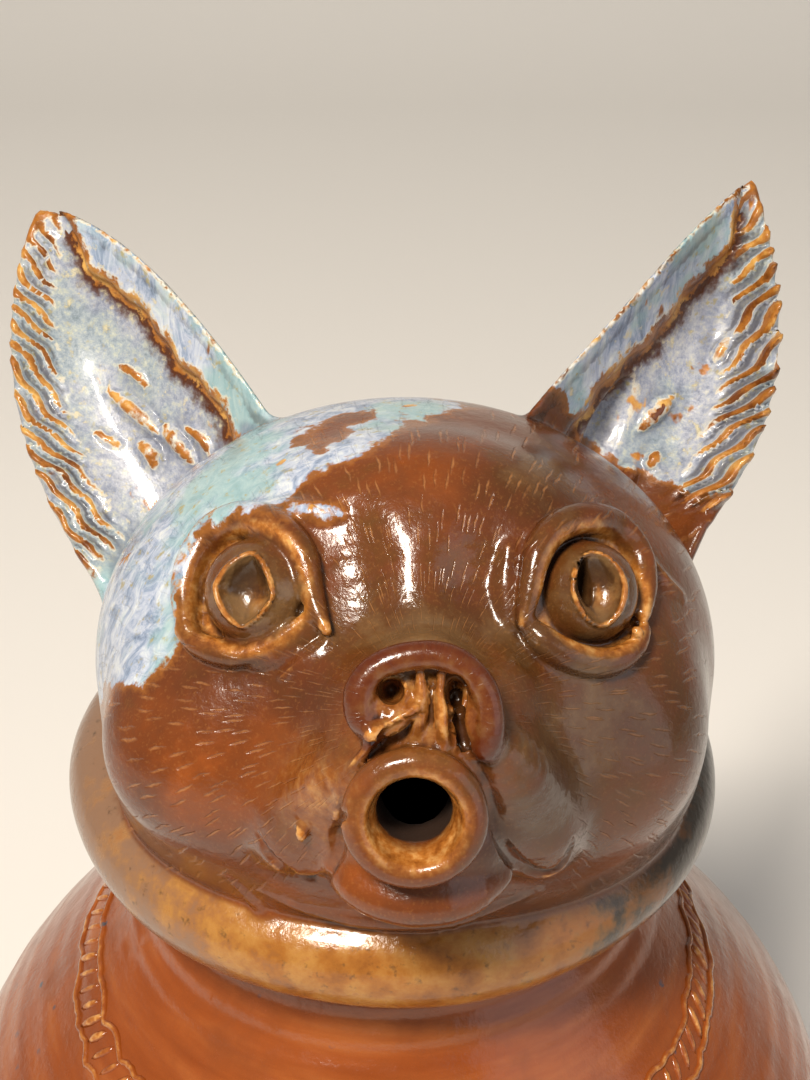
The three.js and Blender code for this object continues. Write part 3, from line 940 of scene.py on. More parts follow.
# %% Settle the vertices on the clay and shade it with the true slope
points = settled(coordinates(pitcher.data))
pitcher.data.vertices.foreach_set("co", (points * MM).astype(np.float32).ravel())
pitcher.data.update()
outward = slopes(points)
outward /= np.maximum(np.linalg.norm(outward, axis=1, keepdims=True), 1e-6)
for polygon in pitcher.data.polygons:
    polygon.use_smooth = True
pitcher.data.normals_split_custom_set_from_vertices(outward.tolist())
print("settled to", round(float(np.abs(measured(points)).mean()), 4), "mm")

# %% [markdown]
# ## Where the glaze lies
# The glaze behaves by the clay's shape. It runs thin over ridges and breaks to amber there,
# and pools dark in hollows. So the mesh carries its own measures for the materials: how
# sharply it bends, with painted shade added where cuts and pockets lie deep, how far a point
# is inside the pale glaze, and which part it belongs to.


# %% Measures for the glaze
def bend(points, reach):
    """How much the surface bulges (above nought) or hollows, at the scale of the reach."""
    total = np.zeros(len(points))
    around = [(1, 1, 1), (1, -1, -1), (-1, 1, -1), (-1, -1, 1)]
    around += [(-1, -1, -1), (-1, 1, 1), (1, -1, 1), (1, 1, -1)]
    for direction in around:
        total += measured(points + np.array(direction) * reach / math.sqrt(3))
    return total / len(around) / reach


def polygon_depth(u, v, corners):
    """How far inside a polygon each point lies, below nought outside it."""
    corners = np.array(corners, float)
    inside = np.zeros(len(u), bool)
    nearest = np.full(len(u), FAR_AWAY)
    for (ua, va), (ub, vb) in zip(corners, np.roll(corners, -1, 0)):
        crosses = (va > v) != (vb > v)
        at = ua + (v - va) * (ub - ua) / (vb - va if vb != va else 1e-9)
        inside ^= crosses & (u < at)
        d = np.array([ub - ua, vb - va])
        t = np.clip(((u - ua) * d[0] + (v - va) * d[1]) / (d @ d + 1e-12), 0, 1)
        nearest = np.minimum(nearest, np.hypot(u - ua - t * d[0], v - va - t * d[1]))
    return np.where(inside, nearest, -nearest)


def keep(piece, name, values):
    """A number, or three, for each vertex, kept on the mesh under a name."""
    kind, slot = ("FLOAT", "value") if values.ndim == 1 else ("FLOAT_VECTOR", "vector")
    attribute = piece.data.attributes.new(name, kind, "POINT")
    attribute.data.foreach_set(slot, values.astype(np.float32).ravel())


PALE_FLOW = [(480, 402), (462, 407), (430, 414), (401, 424), (370, 450), (326, 463), (298, 484), (292, 505)]
PALE_FLOW += [(250, 507), (205, 527), (186, 560), (178, 600), (176, 634), (170, 650), (154, 668), (140, 687)]
PALE_FLOW += [(118, 683), (105, 684), (98, 712), (60, 720), (0, 600), (0, 250), (200, 340)]
PALE_FLOW += [(345, 385), (440, 390)]
BROWN_PATCH = [(298, 440), (318, 421), (345, 411), (375, 412), (378, 421), (345, 436), (321, 452)]
DRIP = [(285, 504), (318, 505), (339, 508), (341, 516), (318, 514), (285, 511)]
PIXELS_PER_MM = 6.9
EDGE_REACH = 12
FAR_OFF = 30.0
EAR_LEVEL = 190
FLOW_LEVEL = 185
HEAD_FOOT = 150
face = (points - HEAD_CENTRE) @ FACE.T
from_eye = face - EYE_POINT
depth = from_eye @ LOOK
pixel_x = PHOTO_X + FOCAL * from_eye[:, 0] / depth
pixel_y = PHOTO_Y - FOCAL * (from_eye @ OVER) / depth
ear_depth = np.full(len(points), -FAR_OFF)
hem = np.zeros(len(points))
half_edge = np.full(len(points), FAR_OFF)
ear_tip = np.zeros(len(points))
step = np.full(len(points), FAR_OFF)
for ear in EARS:
    along, up, aside, half, out, length = ear_place(ear, face)
    from_edge = half - aside
    width = hem_width(along * length, up)
    on_ear = (ear_gap(ear, face) < 1.6) & (points[:, 2] > EAR_LEVEL)
    pale_from = 0.02 if ear["side"] < 0 else 0.1
    inner = np.where(on_ear, (along - pale_from) * length, -FAR_OFF)
    ear_depth = np.maximum(ear_depth, np.minimum(inner, EDGE_REACH))
    hem = np.where(on_ear, 1 - ramp(from_edge, width - 0.8, width + 0.4), hem)
    in_front = (out > -0.5) & (up < 0.9)
    step = np.where(on_ear & in_front, from_edge - width, step)
    half_edge = np.where(on_ear, from_edge, half_edge)
    ear_tip = np.where(on_ear, ramp(up, 0.86, 0.98), ear_tip)
flow = polygon_depth(pixel_x, pixel_y, PALE_FLOW)
flow = np.minimum(flow, -polygon_depth(pixel_x, pixel_y, BROWN_PATCH))
flow = np.maximum(flow, polygon_depth(pixel_x, pixel_y, DRIP)) / PIXELS_PER_MM
flow = np.where(points[:, 2] > FLOW_LEVEL, flow, -FAR_OFF)
keep(pitcher, "pale", np.clip(np.maximum(flow, ear_depth), -EDGE_REACH, EDGE_REACH))
keep(pitcher, "ear", ramp(ear_depth, -3, 1))
keep(pitcher, "hem", hem)
keep(pitcher, "step", np.clip(step, -10, 10))
sharp = np.clip(bend(points, 1.0), -0.6, 0.6)
# Painted shade: the keyhole and the right eye's slit are pushed down the bend measure so that they pool
# dark, as deep cuts in shade.
keyhole_path = curved(keyhole)
cut = coil_gap(face, keyhole_path, np.full(len(keyhole_path), 1.5))
cut = np.minimum(cut, egg_gap(face, slit_at, (1.8, 3.8, 5.0), slit_axes) * 2)
sharp = sharp - 0.35 * (1 - ramp(cut, -0.6, 0.3))
broad_bend = np.clip(bend(points, 2.6), -0.6, 0.6)
sharp = sharp - 0.17 * hem * (half_edge < 2.5)
sharp = sharp + 0.09 * ear_tip
keep(pitcher, "broad", broad_bend)
above = points[:, 2] > HEAD_LEVEL
head_near = np.full(len(points), FAR_OFF)
head_near[above] = worked_gap(face[above])
on_head = (1 - ramp(head_near, 0.3, 1.5)) * (points[:, 2] > HEAD_FOOT)
keep(pitcher, "collar", 1 - ramp(collar_gap(points), 0.2, 1.4))
keep(pitcher, "head", on_head)
is_inner = (hollow_gap(points) < 0.8) | ((head_near < -3.0) & (points[:, 2] > HEAD_FOOT))
keep(pitcher, "inside", is_inner.astype(float))
keep(pitcher, "foot", 1 - ramp(points[:, 2], 3.0, 4.5))
print("bend", np.percentile(sharp, [1, 5, 50, 95, 99]).round(3))


# %% [markdown]
# The brown is not even. Spots on the photograph say where it is redder or more olive, and the
# fur's incised strokes run outward from the nose, so the mesh carries their direction too.
# Other spots carry painted shade over the right cheek and flew, in the upper half of each
# pupil's pit and deep in the right ear's pocket, and a painted sheen lightens the stop.

# %% Hue and fur
def spot(x, y, wide, high):
    return np.exp(-(((pixel_x - x) / wide) ** 2) - ((pixel_y - y) / high) ** 2) * (face[:, 2] > -15)


hue = 0.6 * spot(200, 765, 95, 75) + 0.3 * spot(400, 450, 120, 50) + 0.5 * spot(320, 890, 120, 40)
# The stop is paler olive: its own olive, lightened further as a painted sheen.
hue -= 0.9 * spot(440, 635, 110, 34) + 0.7 * spot(600, 720, 70, 55) + 0.7 * spot(540, 475, 50, 34)
hue -= 0.4 * spot(535, 800, 40, 60) + 0.7 * spot(255, 591, 55, 55) + 0.6 * spot(588, 592, 52, 52)
glow = 0.7 * spot(425, 706, 50, 40) + 0.5 * spot(318, 795, 34, 48) + 0.9 * spot(191, 605, 13, 36)
for (eye_middle, _, eye_axes), pit_middle in ((left_eye, left_pit), (right_eye, right_pit)):
    local = (face - eye_middle) @ eye_axes.T
    ring = np.hypot(local[:, 0], local[:, 1])
    glow = np.maximum(glow, 0.95 * ramp(ring, 7.9, 8.5) * (1 - ramp(ring, 9.0, 10.2)) * (local[:, 2] > -4))
    local = (face - pit_middle) @ eye_axes.T
    in_pit = 1 - ramp(np.hypot(local[:, 0], local[:, 1] * 0.7), 2.6, 4.0)
    gold = np.exp(-(((local[:, 0] - 1.2) / 1.5) ** 2) - (local[:, 1] / 2.2) ** 2)
    glow = np.where(in_pit > 0.5, 0.8 * gold, glow)
    # Painted shade over the upper half of each pit, so that the bowl reads as hollow.
    sharp = sharp - 0.2 * in_pit * ramp(local[:, 1], -2.5, 2.5)
    hue = np.where(in_pit > 0.5, -1.0, hue)
keep(pitcher, "hue", np.clip(hue, -1, 1) * on_head)
along, across, up = mouth_coordinates(face)
ring = np.hypot(across, up)
glow = np.maximum(glow, 0.85 * ramp(ring, 4.6, 5.4) * (1 - ramp(ring, 6.2, 8.0)) * (along > -5))
# Painted shade over the right cheek and under the right flew.
keep(pitcher, "shade", 0.6 * np.clip(spot(640, 730, 110, 110) + spot(560, 820, 60, 60), 0, 1) * on_head)
keep(pitcher, "glow", glow)
# Painted shade deep in the right ear's pocket, and darker near its tip.
sharp = sharp - (0.16 * spot(602, 425, 22, 46) + 0.12 * spot(705, 290, 24, 60)) * (ear_depth > 0)
keep(pitcher, "sharp", sharp)
keep(pitcher, "nose", 1 - ramp(coil_gap(face, nose_path, nose_radii), 0.1, 0.9))
from_nose = face - np.array([MIDDLE * HEAD_WIDTH, -7, 0])
turn = np.arctan2(from_nose[:, 0], from_nose[:, 1])
fur_far = np.hypot(from_nose[:, 0], from_nose[:, 1])
smooth_places = spot(255, 591, 75, 75) + spot(588, 592, 75, 75) + spot(425, 700, 85, 60)
smooth_places += spot(415, 830, 110, 85) + spot(535, 815, 50, 70) + spot(400, 915, 200, 30)
furry = np.clip(1 - 1.3 * smooth_places, 0, 1) * on_head * (1 - ramp(np.abs(turn), 2.3, 2.7))
furry = furry * (1 - ramp(ear_depth, -6, -2)) * ramp(face[:, 2], -20, 0)
keep(pitcher, "fur", np.stack([turn * 28, fur_far, furry], 1))

# %% [markdown]
# ## The glaze
# Salt-glazed stoneware: brown iron clay under a thin glassy coat. Light goes through the
# coat and comes back brown, with sharp white highlights on top; where the coat is thin the
# clay breaks through in amber, and rutile in the second glaze turns it to pale blue milk.


# %% Helpers for nodes
MATH = "ShaderNodeMath"
VECTOR_MATH = "ShaderNodeVectorMath"
MAP = "ShaderNodeMapRange"
MIX = "ShaderNodeMix"
NOISE = "ShaderNodeTexNoise"
COLOUR_RAMP = "ShaderNodeValToRGB"
SMOOTH = {"interpolation_type": "SMOOTHSTEP"}
COLOURS = {"data_type": "RGBA"}
ADD = {"operation": "ADD"}
MULTIPLY = {"operation": "MULTIPLY"}
MULTIPLY_ADD = {"operation": "MULTIPLY_ADD"}
MAXIMUM = {"operation": "MAXIMUM"}


def linear(code):
    """An sRGB hex colour as Blender's linear one."""
    parts = [int(code[i : i + 2], 16) / 255 for i in (1, 3, 5)]
    return tuple(c / 12.92 if c <= 0.04045 else ((c + 0.055) / 1.055) ** 2.4 for c in parts) + (1.0,)


def spread(colour_ramp, stops):
    """Sets the places and colours of a colour ramp."""
    while len(colour_ramp.elements) < len(stops):
        colour_ramp.elements.new(0.5)
    for element, (place, colour) in zip(colour_ramp.elements, stops):
        element.position = place
        element.color = linear(colour) if isinstance(colour, str) else (colour, colour, colour, 1)


def node(tree, kind, settings=None, **links):
    """Adds a node with its settings; links feed its sockets by name, or by number as _0.

    From and To each stand for the two ends of a range.
    """
    made = tree.nodes.new(kind)
    for key, value in (settings or {}).items():
        if key == "stops":
            spread(made.color_ramp, value)
        else:
            setattr(made, key, value)
    for end in ("From", "To"):
        if end in links:
            links[end + "_Min"], links[end + "_Max"] = links.pop(end)
    for key, value in links.items():
        if key[1:].isdigit():
            socket = made.inputs[int(key[1:])]
        else:
            socket = next(s for s in made.inputs if s.enabled and s.name == key.replace("_", " "))
        if isinstance(value, bpy.types.Node):
            value = next(s for s in value.outputs if s.enabled)
        if isinstance(value, bpy.types.NodeSocket):
            tree.links.new(value, socket)
        elif isinstance(value, str) and value.startswith("#"):
            socket.default_value = linear(value)
        else:
            socket.default_value = value
    return made


# %% [markdown]
# The glaze reads the mesh's own measures. Four noises, from clouds of two centimetres to a
# grain of half a millimetre, are shared by all its colours, as one firing touches them all.

# %% Measures and noises of the glaze
stoneware = bpy.data.materials.new("salt_glazed_stoneware")
stoneware.use_nodes = True
glaze = stoneware.node_tree
glaze.nodes.clear()
place = node(glaze, "ShaderNodeTexCoord").outputs["Object"]
share_of = {}
for name in "pale ear hem step sharp broad collar head inside foot hue nose glow shade".split():
    share_of[name] = node(glaze, "ShaderNodeAttribute", {"attribute_name": name}).outputs["Fac"]
lumps = {}
for name, size_mm, detail in (("cloud", 20, 4), ("mottle", 6.5, 6), ("speckle", 1.9, 4), ("grain", 0.55, 2)):
    lumps[name] = node(glaze, NOISE, Vector=place, Scale=1000 / size_mm, Detail=detail, Roughness=0.62)
wobble = node(glaze, MAP, Value=lumps["speckle"], From=(0.3, 0.7), To=(-0.03, 0.03))
edge = node(glaze, MATH, ADD, _0=share_of["sharp"], _1=wobble)

# %% [markdown]
# ### Jug and collar
# The jug is orange-brown, with soft bands round it as the wheel left them and a few
# blue-grey specks. The collar is golden in front and tan-grey at one side; at the other
# side it is painted dark, the shadow that the head casts on it.

# %% Colours of the jug and the collar
flat_place = node(glaze, VECTOR_MATH, MULTIPLY, _0=place, _1=(0.12, 0.12, 1.0))
bands = node(glaze, NOISE, Vector=flat_place, Scale=260, Detail=4, Roughness=0.55)
jug_stops = [(0.3, "#79380f"), (0.5, "#874318"), (0.7, "#965325")]
jug_colour = node(glaze, COLOUR_RAMP, {"stops": jug_stops}, Fac=bands)
cloudy = node(glaze, MAP, SMOOTH, Value=lumps["cloud"], From=(0.45, 0.68))
speck_cells = node(glaze, "ShaderNodeTexVoronoi", Vector=place, Scale=140, Randomness=1.0)
speck = node(glaze, MAP, Value=speck_cells, From=(0.13, 0.09))
speck_places = node(glaze, MAP, Value=lumps["mottle"], From=(0.5, 0.58))
specks = node(glaze, MATH, MULTIPLY, _0=speck, _1=speck_places)
for part, tone in ((cloudy, "#7a3d18"), (specks, "#43424c")):
    jug_colour = node(glaze, MIX, COLOURS, Factor=part, A=jug_colour, B=tone)
side_way = node(glaze, "ShaderNodeSeparateXYZ", Vector=place).outputs["X"]
mottled = node(glaze, MAP, Value=lumps["mottle"], From=(0.3, 0.7), To=(-0.016, 0.016))
aside = node(glaze, MATH, ADD, _0=side_way, _1=mottled)
collar_stops = [(0.3, "#6f3f16"), (0.48, "#8f5a22"), (0.62, "#a07136"), (0.75, "#8a552a")]
collar_colour = node(glaze, COLOUR_RAMP, {"stops": collar_stops}, Fac=lumps["mottle"])
to_left = node(glaze, MAP, SMOOTH, Value=aside, From=(-0.018, -0.046))
# Painted shade: the collar's right side is darkened as the shadow of the head.
painted_shade_right = node(glaze, MAP, SMOOTH, Value=aside, From=(0.022, 0.046))
freckle = node(glaze, MAP, Value=lumps["speckle"], From=(0.6, 0.72), To_Max=0.6)
for part, tone in ((to_left, "#7e604a"), (painted_shade_right, "#3a3026"), (freckle, "#33271c")):
    collar_colour = node(glaze, MIX, COLOURS, Factor=part, A=collar_colour, B=tone)
below = node(glaze, MIX, COLOURS, Factor=share_of["collar"], A=jug_colour, B=collar_colour)

# %% [markdown]
# ### Head
# Dark red-brown to olive, by the hue kept on the mesh, with painted shade over the right
# cheek and flew. Short strokes are cut into the clay like fur. They lie along the fur's
# direction, and their burred edges break to tan.

# %% Colours of the head
hue_noise = node(glaze, MAP, Value=lumps["mottle"], From=(0.25, 0.75), To=(-0.5, 0.5))
hue_here = node(glaze, MATH, ADD, _0=share_of["hue"], _1=hue_noise)
hue_share = node(glaze, MAP, Value=hue_here, From=(-1, 1))
hue_stops = [(0.05, "#745a3a"), (0.3, "#5a3818"), (0.52, "#653517"), (0.75, "#713811"), (1.0, "#8a4513")]
head_colour = node(glaze, COLOUR_RAMP, {"stops": hue_stops}, Fac=hue_share)
deeper = node(glaze, MAP, Value=lumps["cloud"], From=(0.4, 0.65), To_Max=0.55)
gold_grain = node(glaze, MAP, Value=lumps["grain"], From=(0.55, 0.75), To_Max=0.16)
fur = node(glaze, "ShaderNodeAttribute", {"attribute_name": "fur"}).outputs["Vector"]
fur_parts = node(glaze, "ShaderNodeSeparateXYZ", Vector=fur)
fur_bent = node(glaze, MATH, MULTIPLY_ADD, _0=lumps["mottle"], _1=1.5, _2=fur_parts.outputs["X"])
fur_along = node(glaze, MATH, {"operation": "DIVIDE"}, _0=fur_parts.outputs["Y"], _1=7.5)
fur_place = node(glaze, "ShaderNodeCombineXYZ", X=fur_bent, Y=fur_along)
flat_cells = {"voronoi_dimensions": "2D"}
strokes = node(glaze, "ShaderNodeTexVoronoi", flat_cells, Vector=fur_place, Scale=1.0, Randomness=0.85)
stroke_line = node(glaze, MAP, SMOOTH, Value=strokes, From=(0.22, 0.08))
stroke = node(glaze, MATH, MULTIPLY, _0=stroke_line, _1=fur_parts.outputs["Z"])
stroke_tan = node(glaze, MAP, Value=lumps["speckle"], From=(0.35, 0.6), To=(0.05, 0.6))
stroke_share = node(glaze, MATH, MULTIPLY, _0=stroke, _1=stroke_tan)
for part, tone in (
    (deeper, "#3a1a0b"),
    (gold_grain, "#a8743c"),
    (stroke_share, "#9c6a3e"),
    (share_of["nose"], "#4a1b0b"),
    # painted shade over the right cheek and flew
    (share_of["shade"], "#35200f"),
):
    head_colour = node(glaze, MIX, COLOURS, Factor=part, A=head_colour, B=tone)
brown = node(glaze, MIX, COLOURS, Factor=share_of["head"], A=below, B=head_colour)

# %% [markdown]
# Every ridge breaks to amber, and every crease pools dark. The same dark also lays painted
# shade in the slits and pits, where the bend measure carries it. The nose's thick coil keeps
# its dark coat, so its share is taken off the edge first.

# %% Amber ridges and dark creases
nose_guard = node(glaze, MATH, MULTIPLY_ADD, _0=share_of["nose"], _1=-0.12, _2=edge)
amber_share = node(glaze, MAP, SMOOTH, Value=nose_guard, From=(0.11, 0.24), To_Max=0.8)
amber_stops = [(0.34, "#7d4617"), (0.5, "#a8692a"), (0.66, "#cb9655")]
amber = node(glaze, COLOUR_RAMP, {"stops": amber_stops}, Fac=lumps["speckle"])
glow_noise = node(glaze, MAP, Value=lumps["mottle"], From=(0.35, 0.6), To=(0.5, 1.0))
glow_share = node(glaze, MATH, MULTIPLY, _0=share_of["glow"], _1=glow_noise)
any_amber = node(glaze, MATH, MAXIMUM, _0=amber_share, _1=glow_share)
ridged = node(glaze, MIX, COLOURS, Factor=any_amber, A=brown, B=amber)
# The pool colour holds both the glaze's pooling and painted shade.
pool_and_shade_share = node(glaze, MAP, SMOOTH, Value=edge, From=(-0.08, -0.24), To_Max=0.8)
pooled_and_shaded = node(glaze, MIX, COLOURS, Factor=pool_and_shade_share, A=ridged, B="#241208")

# %% [markdown]
# ### Pale glaze
# A milky ash glaze ran over the ears and down one side: lavender and white in the middle,
# cyan-green where thin, with yellow-olive flecks, and brown wherever the clay stands proud.
# The ears' fluted half is greyer and mottled. Beside the hem's inner edge lies a brown band
# of painted shadow, the shadow of the raised hem, and the right ear's pocket is painted dark
# as shade.

# %% Colours of the pale glaze
run_place = node(glaze, VECTOR_MATH, MULTIPLY, _0=place, _1=(1, 1, 0.5))
run = node(glaze, NOISE, Vector=run_place, Scale=330, Detail=6, Roughness=0.72, Distortion=0.8)
milk_stops = [(0.3, "#5f6d82"), (0.42, "#8493ab"), (0.52, "#a9b2c4"), (0.62, "#c0c7cd"), (0.74, "#dadad4")]
milk = node(glaze, COLOUR_RAMP, {"stops": milk_stops}, Fac=run)
cyan_share = node(glaze, MAP, SMOOTH, Value=lumps["cloud"], From=(0.46, 0.6), To_Max=0.7)
milk_cyan = node(glaze, MIX, COLOURS, Factor=cyan_share, A=milk, B="#86a9a6")
ear_stops = [(0.3, "#565860"), (0.43, "#7c7f8d"), (0.53, "#96989f"), (0.62, "#adaa98"), (0.72, "#c6c3b8")]
ear_noise = node(glaze, NOISE, Vector=place, Scale=800, Detail=5, Roughness=0.75)
ear_mottle = node(glaze, COLOUR_RAMP, {"stops": ear_stops}, Fac=ear_noise)
ear_half = node(glaze, MIX, COLOURS, Factor=0.68, A=milk_cyan, B=ear_mottle)
ear_milk = node(glaze, MIX, COLOURS, Factor=share_of["ear"], A=milk_cyan, B=ear_half)
pale_colour = node(glaze, MIX, COLOURS, Factor=share_of["hem"], A=ear_milk, B=milk_cyan)
olive_share = node(glaze, MAP, SMOOTH, Value=lumps["speckle"], From=(0.56, 0.7), To_Max=0.75)
dark_share = node(glaze, MAP, SMOOTH, Value=share_of["broad"], From=(-0.02, -0.16), To_Max=0.55)
dash_noise = node(glaze, NOISE, Vector=run_place, Scale=210, Detail=3, Roughness=0.5)
dashes = node(glaze, MAP, SMOOTH, Value=dash_noise, From=(0.66, 0.71))
rough_edge = node(glaze, MATH, MULTIPLY_ADD, _0=wobble, _1=1.2, _2=edge)
breaks = node(glaze, MAP, SMOOTH, Value=rough_edge, From=(0.06, 0.14))
broken = node(glaze, MATH, MAXIMUM, _0=breaks, _1=dashes)
break_stops = [(0.35, "#63350f"), (0.5, "#9c6222"), (0.65, "#c79a52")]
break_colour = node(glaze, COLOUR_RAMP, {"stops": break_stops}, Fac=lumps["mottle"])
cream_share = node(glaze, MAP, SMOOTH, Value=rough_edge, From=(0.015, 0.06), To_Max=0.65)
cream_on_ear = node(glaze, MATH, MULTIPLY, _0=cream_share, _1=share_of["ear"])
# Pooling on the ears, with the painted shade of the right ear's pocket.
ear_pool_and_shade = node(glaze, MAP, SMOOTH, Value=edge, From=(-0.09, -0.24), To_Max=0.6)
step_way = node(glaze, MATH, MULTIPLY_ADD, _0=wobble, _1=30.0, _2=share_of["step"])
# Painted shadow of the raised hem, a band beside its inner edge.
in_shade = node(glaze, MAP, SMOOTH, Value=step_way, From=(3.4, 1.2))
past_step = node(glaze, MAP, Value=step_way, From=(-0.6, -0.3))
painted_hem_shadow = node(glaze, MATH, MULTIPLY, _0=in_shade, _1=past_step)
off_step = node(glaze, MATH, {"operation": "ABSOLUTE"}, _0=step_way)
on_step = node(glaze, MAP, SMOOTH, Value=off_step, From=(1.1, 0.4))
for part, tone in (
    (olive_share, "#9a8d4e"),
    (dark_share, "#4d5468"),
    (cream_on_ear, "#cfc8b2"),
    (broken, break_colour),
    (ear_pool_and_shade, "#3d3838"),
    (painted_hem_shadow, "#4a2510"),
    (on_step, break_colour),
):
    pale_colour = node(glaze, MIX, COLOURS, Factor=part, A=pale_colour, B=tone)

# %% [markdown]
# The pale glaze stops in a ragged edge, stained amber where it runs thin over the brown.

# %% Where the pale glaze stops, and the bare clay
ragged = node(glaze, MAP, Value=lumps["mottle"], From=(0.25, 0.75), To=(-2.2, 2.2))
ragged_depth = node(glaze, MATH, ADD, _0=share_of["pale"], _1=ragged)
is_pale = node(glaze, MAP, SMOOTH, Value=ragged_depth, From=(-0.25, 0.35))
stain = node(glaze, MAP, SMOOTH, Value=ragged_depth, From=(-1.6, -0.1), To_Max=0.45)
colour = pooled_and_shaded
for part, tone in (
    (stain, "#a0662a"),
    (is_pale, pale_colour),
    (share_of["inside"], "#2a180b"),
    (share_of["foot"], "#a58a6a"),
):
    colour = node(glaze, MIX, COLOURS, Factor=part, A=colour, B=tone)

# %% [markdown]
# ### The glassy coat
# Salt glaze is glossy with the slight pebbling of orange peel, so highlights stay sharp but
# break up at their rims. Strokes of the fur are cut a fraction of a millimetre deep.

# %% Gloss and relief of the coat
peel = node(glaze, MATH, MULTIPLY_ADD, _0=lumps["speckle"], _1=0.35, _2=lumps["mottle"])
relief = node(glaze, MATH, MULTIPLY_ADD, _0=stroke, _1=-0.55, _2=peel)
bump = node(glaze, "ShaderNodeBump", Height=relief, Strength=0.5, Distance=0.0006)
gloss_stops = [(0.35, 0.14), (0.65, 0.28)]
gloss = node(glaze, COLOUR_RAMP, {"stops": gloss_stops}, Fac=lumps["mottle"])
dull = node(glaze, MATH, MAXIMUM, _0=share_of["inside"], _1=share_of["foot"])
satin = node(glaze, MATH, MULTIPLY_ADD, _0=share_of["ear"], _1=0.16, _2=gloss)
gloss_or_dull = node(glaze, MIX, {"data_type": "FLOAT"}, Factor=dull, A=satin, B=0.75)
coated = node(glaze, MAP, Value=dull, To=(0.22, 0.0))
shader = node(
    glaze,
    "ShaderNodeBsdfPrincipled",
    Base_Color=colour,
    Roughness=gloss_or_dull,
    Specular_IOR_Level=0.36,
    IOR=1.48,
    Coat_Weight=coated,
    Coat_Roughness=0.05,
    Normal=bump.outputs["Normal"],
)
node(glaze, "ShaderNodeOutputMaterial", Surface=shader)
pitcher.data.materials.clear()
pitcher.data.materials.append(stoneware)

# %% [markdown]
# ## The carved band
# A ladder of little rungs between two wavy ridges runs round the shoulder. It repeats a
# hundred times along a path, so Geometry Nodes lays it: rungs of clay are set on the path's
# points, two threads follow its sides, and all are joined to one mesh.

# %% The band's path on the jug
RUNGS = 104
STEPS = RUNGS * 4
around = np.linspace(0, 2 * np.pi, STEPS, endpoint=False)


def band_place(around, aside=0.0):
    """A place on the jug, so many millimetres above the band's middle."""
    z = band_height(around) + aside
    radius = jug_radius(z) + 0.1
    return np.stack([radius * np.sin(around), -radius * np.cos(around), z], 1)


middle = band_place(around)
upward = band_place(around, 0.5) - band_place(around, -0.5)
upward /= np.linalg.norm(upward, axis=1, keepdims=True)
onward = np.roll(middle, -1, 0) - np.roll(middle, 1, 0)
onward /= np.linalg.norm(onward, axis=1, keepdims=True)
outward_way = np.cross(onward, upward)
leaning = upward + onward * 0.55
path_mesh = bpy.data.meshes.new("carved_band")
path_mesh.from_pydata((middle * MM).tolist(), [(i, (i + 1) % STEPS) for i in range(STEPS)], [])
band = placed("carved_band", path_mesh)
keep(band, "upward", upward)
keep(band, "outward", outward_way)
keep(band, "leaning", leaning)
keep(band, "half_width", (3.3 + 0.5 * np.cos(around)) * MM)

# %% [markdown]
# The tree takes every fourth point for a rung, a ball pressed flat and long, leaning a
# little. The two threads are the path itself, moved up or down by the band's half width.

# %% The band's node tree
ladder = bpy.data.node_groups.new("carved_band", "GeometryNodeTree")
ladder.interface.new_socket("Geometry", in_out="INPUT", socket_type="NodeSocketGeometry")
inputs = {}
for name, kind, value in (
    ("Rung size", "NodeSocketVector", (0.0009, 0.0034, 0.0009)),
    ("Thread radius", "NodeSocketFloat", 0.0007),
    ("Seed", "NodeSocketInt", 7),
    ("Glaze", "NodeSocketMaterial", stoneware),
):
    inputs[name] = (ladder.interface.new_socket(name, in_out="INPUT", socket_type=kind), value)
ladder.interface.new_socket("Geometry", in_out="OUTPUT", socket_type="NodeSocketGeometry")
given = node(ladder, "NodeGroupInput")
ways = {}
for name in ("upward", "outward", "leaning"):
    ways[name] = node(ladder, "GeometryNodeInputNamedAttribute", {"data_type": "FLOAT_VECTOR"}, Name=name)
half_width = node(ladder, "GeometryNodeInputNamedAttribute", {"data_type": "FLOAT"}, Name="half_width")
index = node(ladder, "GeometryNodeInputIndex")
fourth = node(ladder, MATH, {"operation": "MODULO"}, _0=index, _1=4.0)
is_rung = node(ladder, "FunctionNodeCompare", {"operation": "LESS_THAN"}, _0=fourth, _1=0.5)
ball = node(ladder, "GeometryNodeMeshUVSphere", Segments=8, Rings=5, Radius=1.0)
sizes = node(
    ladder,
    "FunctionNodeRandomValue",
    {"data_type": "FLOAT_VECTOR"},
    _0=(0.75, 0.8, 0.7),
    _1=(1.15, 1.1, 1.25),
    _8=given.outputs["Seed"],
)
rung_size = node(ladder, VECTOR_MATH, MULTIPLY, _0=sizes, _1=given.outputs["Rung size"])
facing_out = node(ladder, "FunctionNodeAlignRotationToVector", {"axis": "Z"}, Vector=ways["outward"])
turned_up = node(
    ladder,
    "FunctionNodeAlignRotationToVector",
    {"axis": "Y", "pivot_axis": "Z"},
    Rotation=facing_out,
    Vector=ways["leaning"],
)
rungs = node(
    ladder,
    "GeometryNodeInstanceOnPoints",
    Points=given.outputs["Geometry"],
    Selection=is_rung,
    Instance=ball,
    Rotation=turned_up,
    Scale=rung_size,
)
pieces = [rungs]
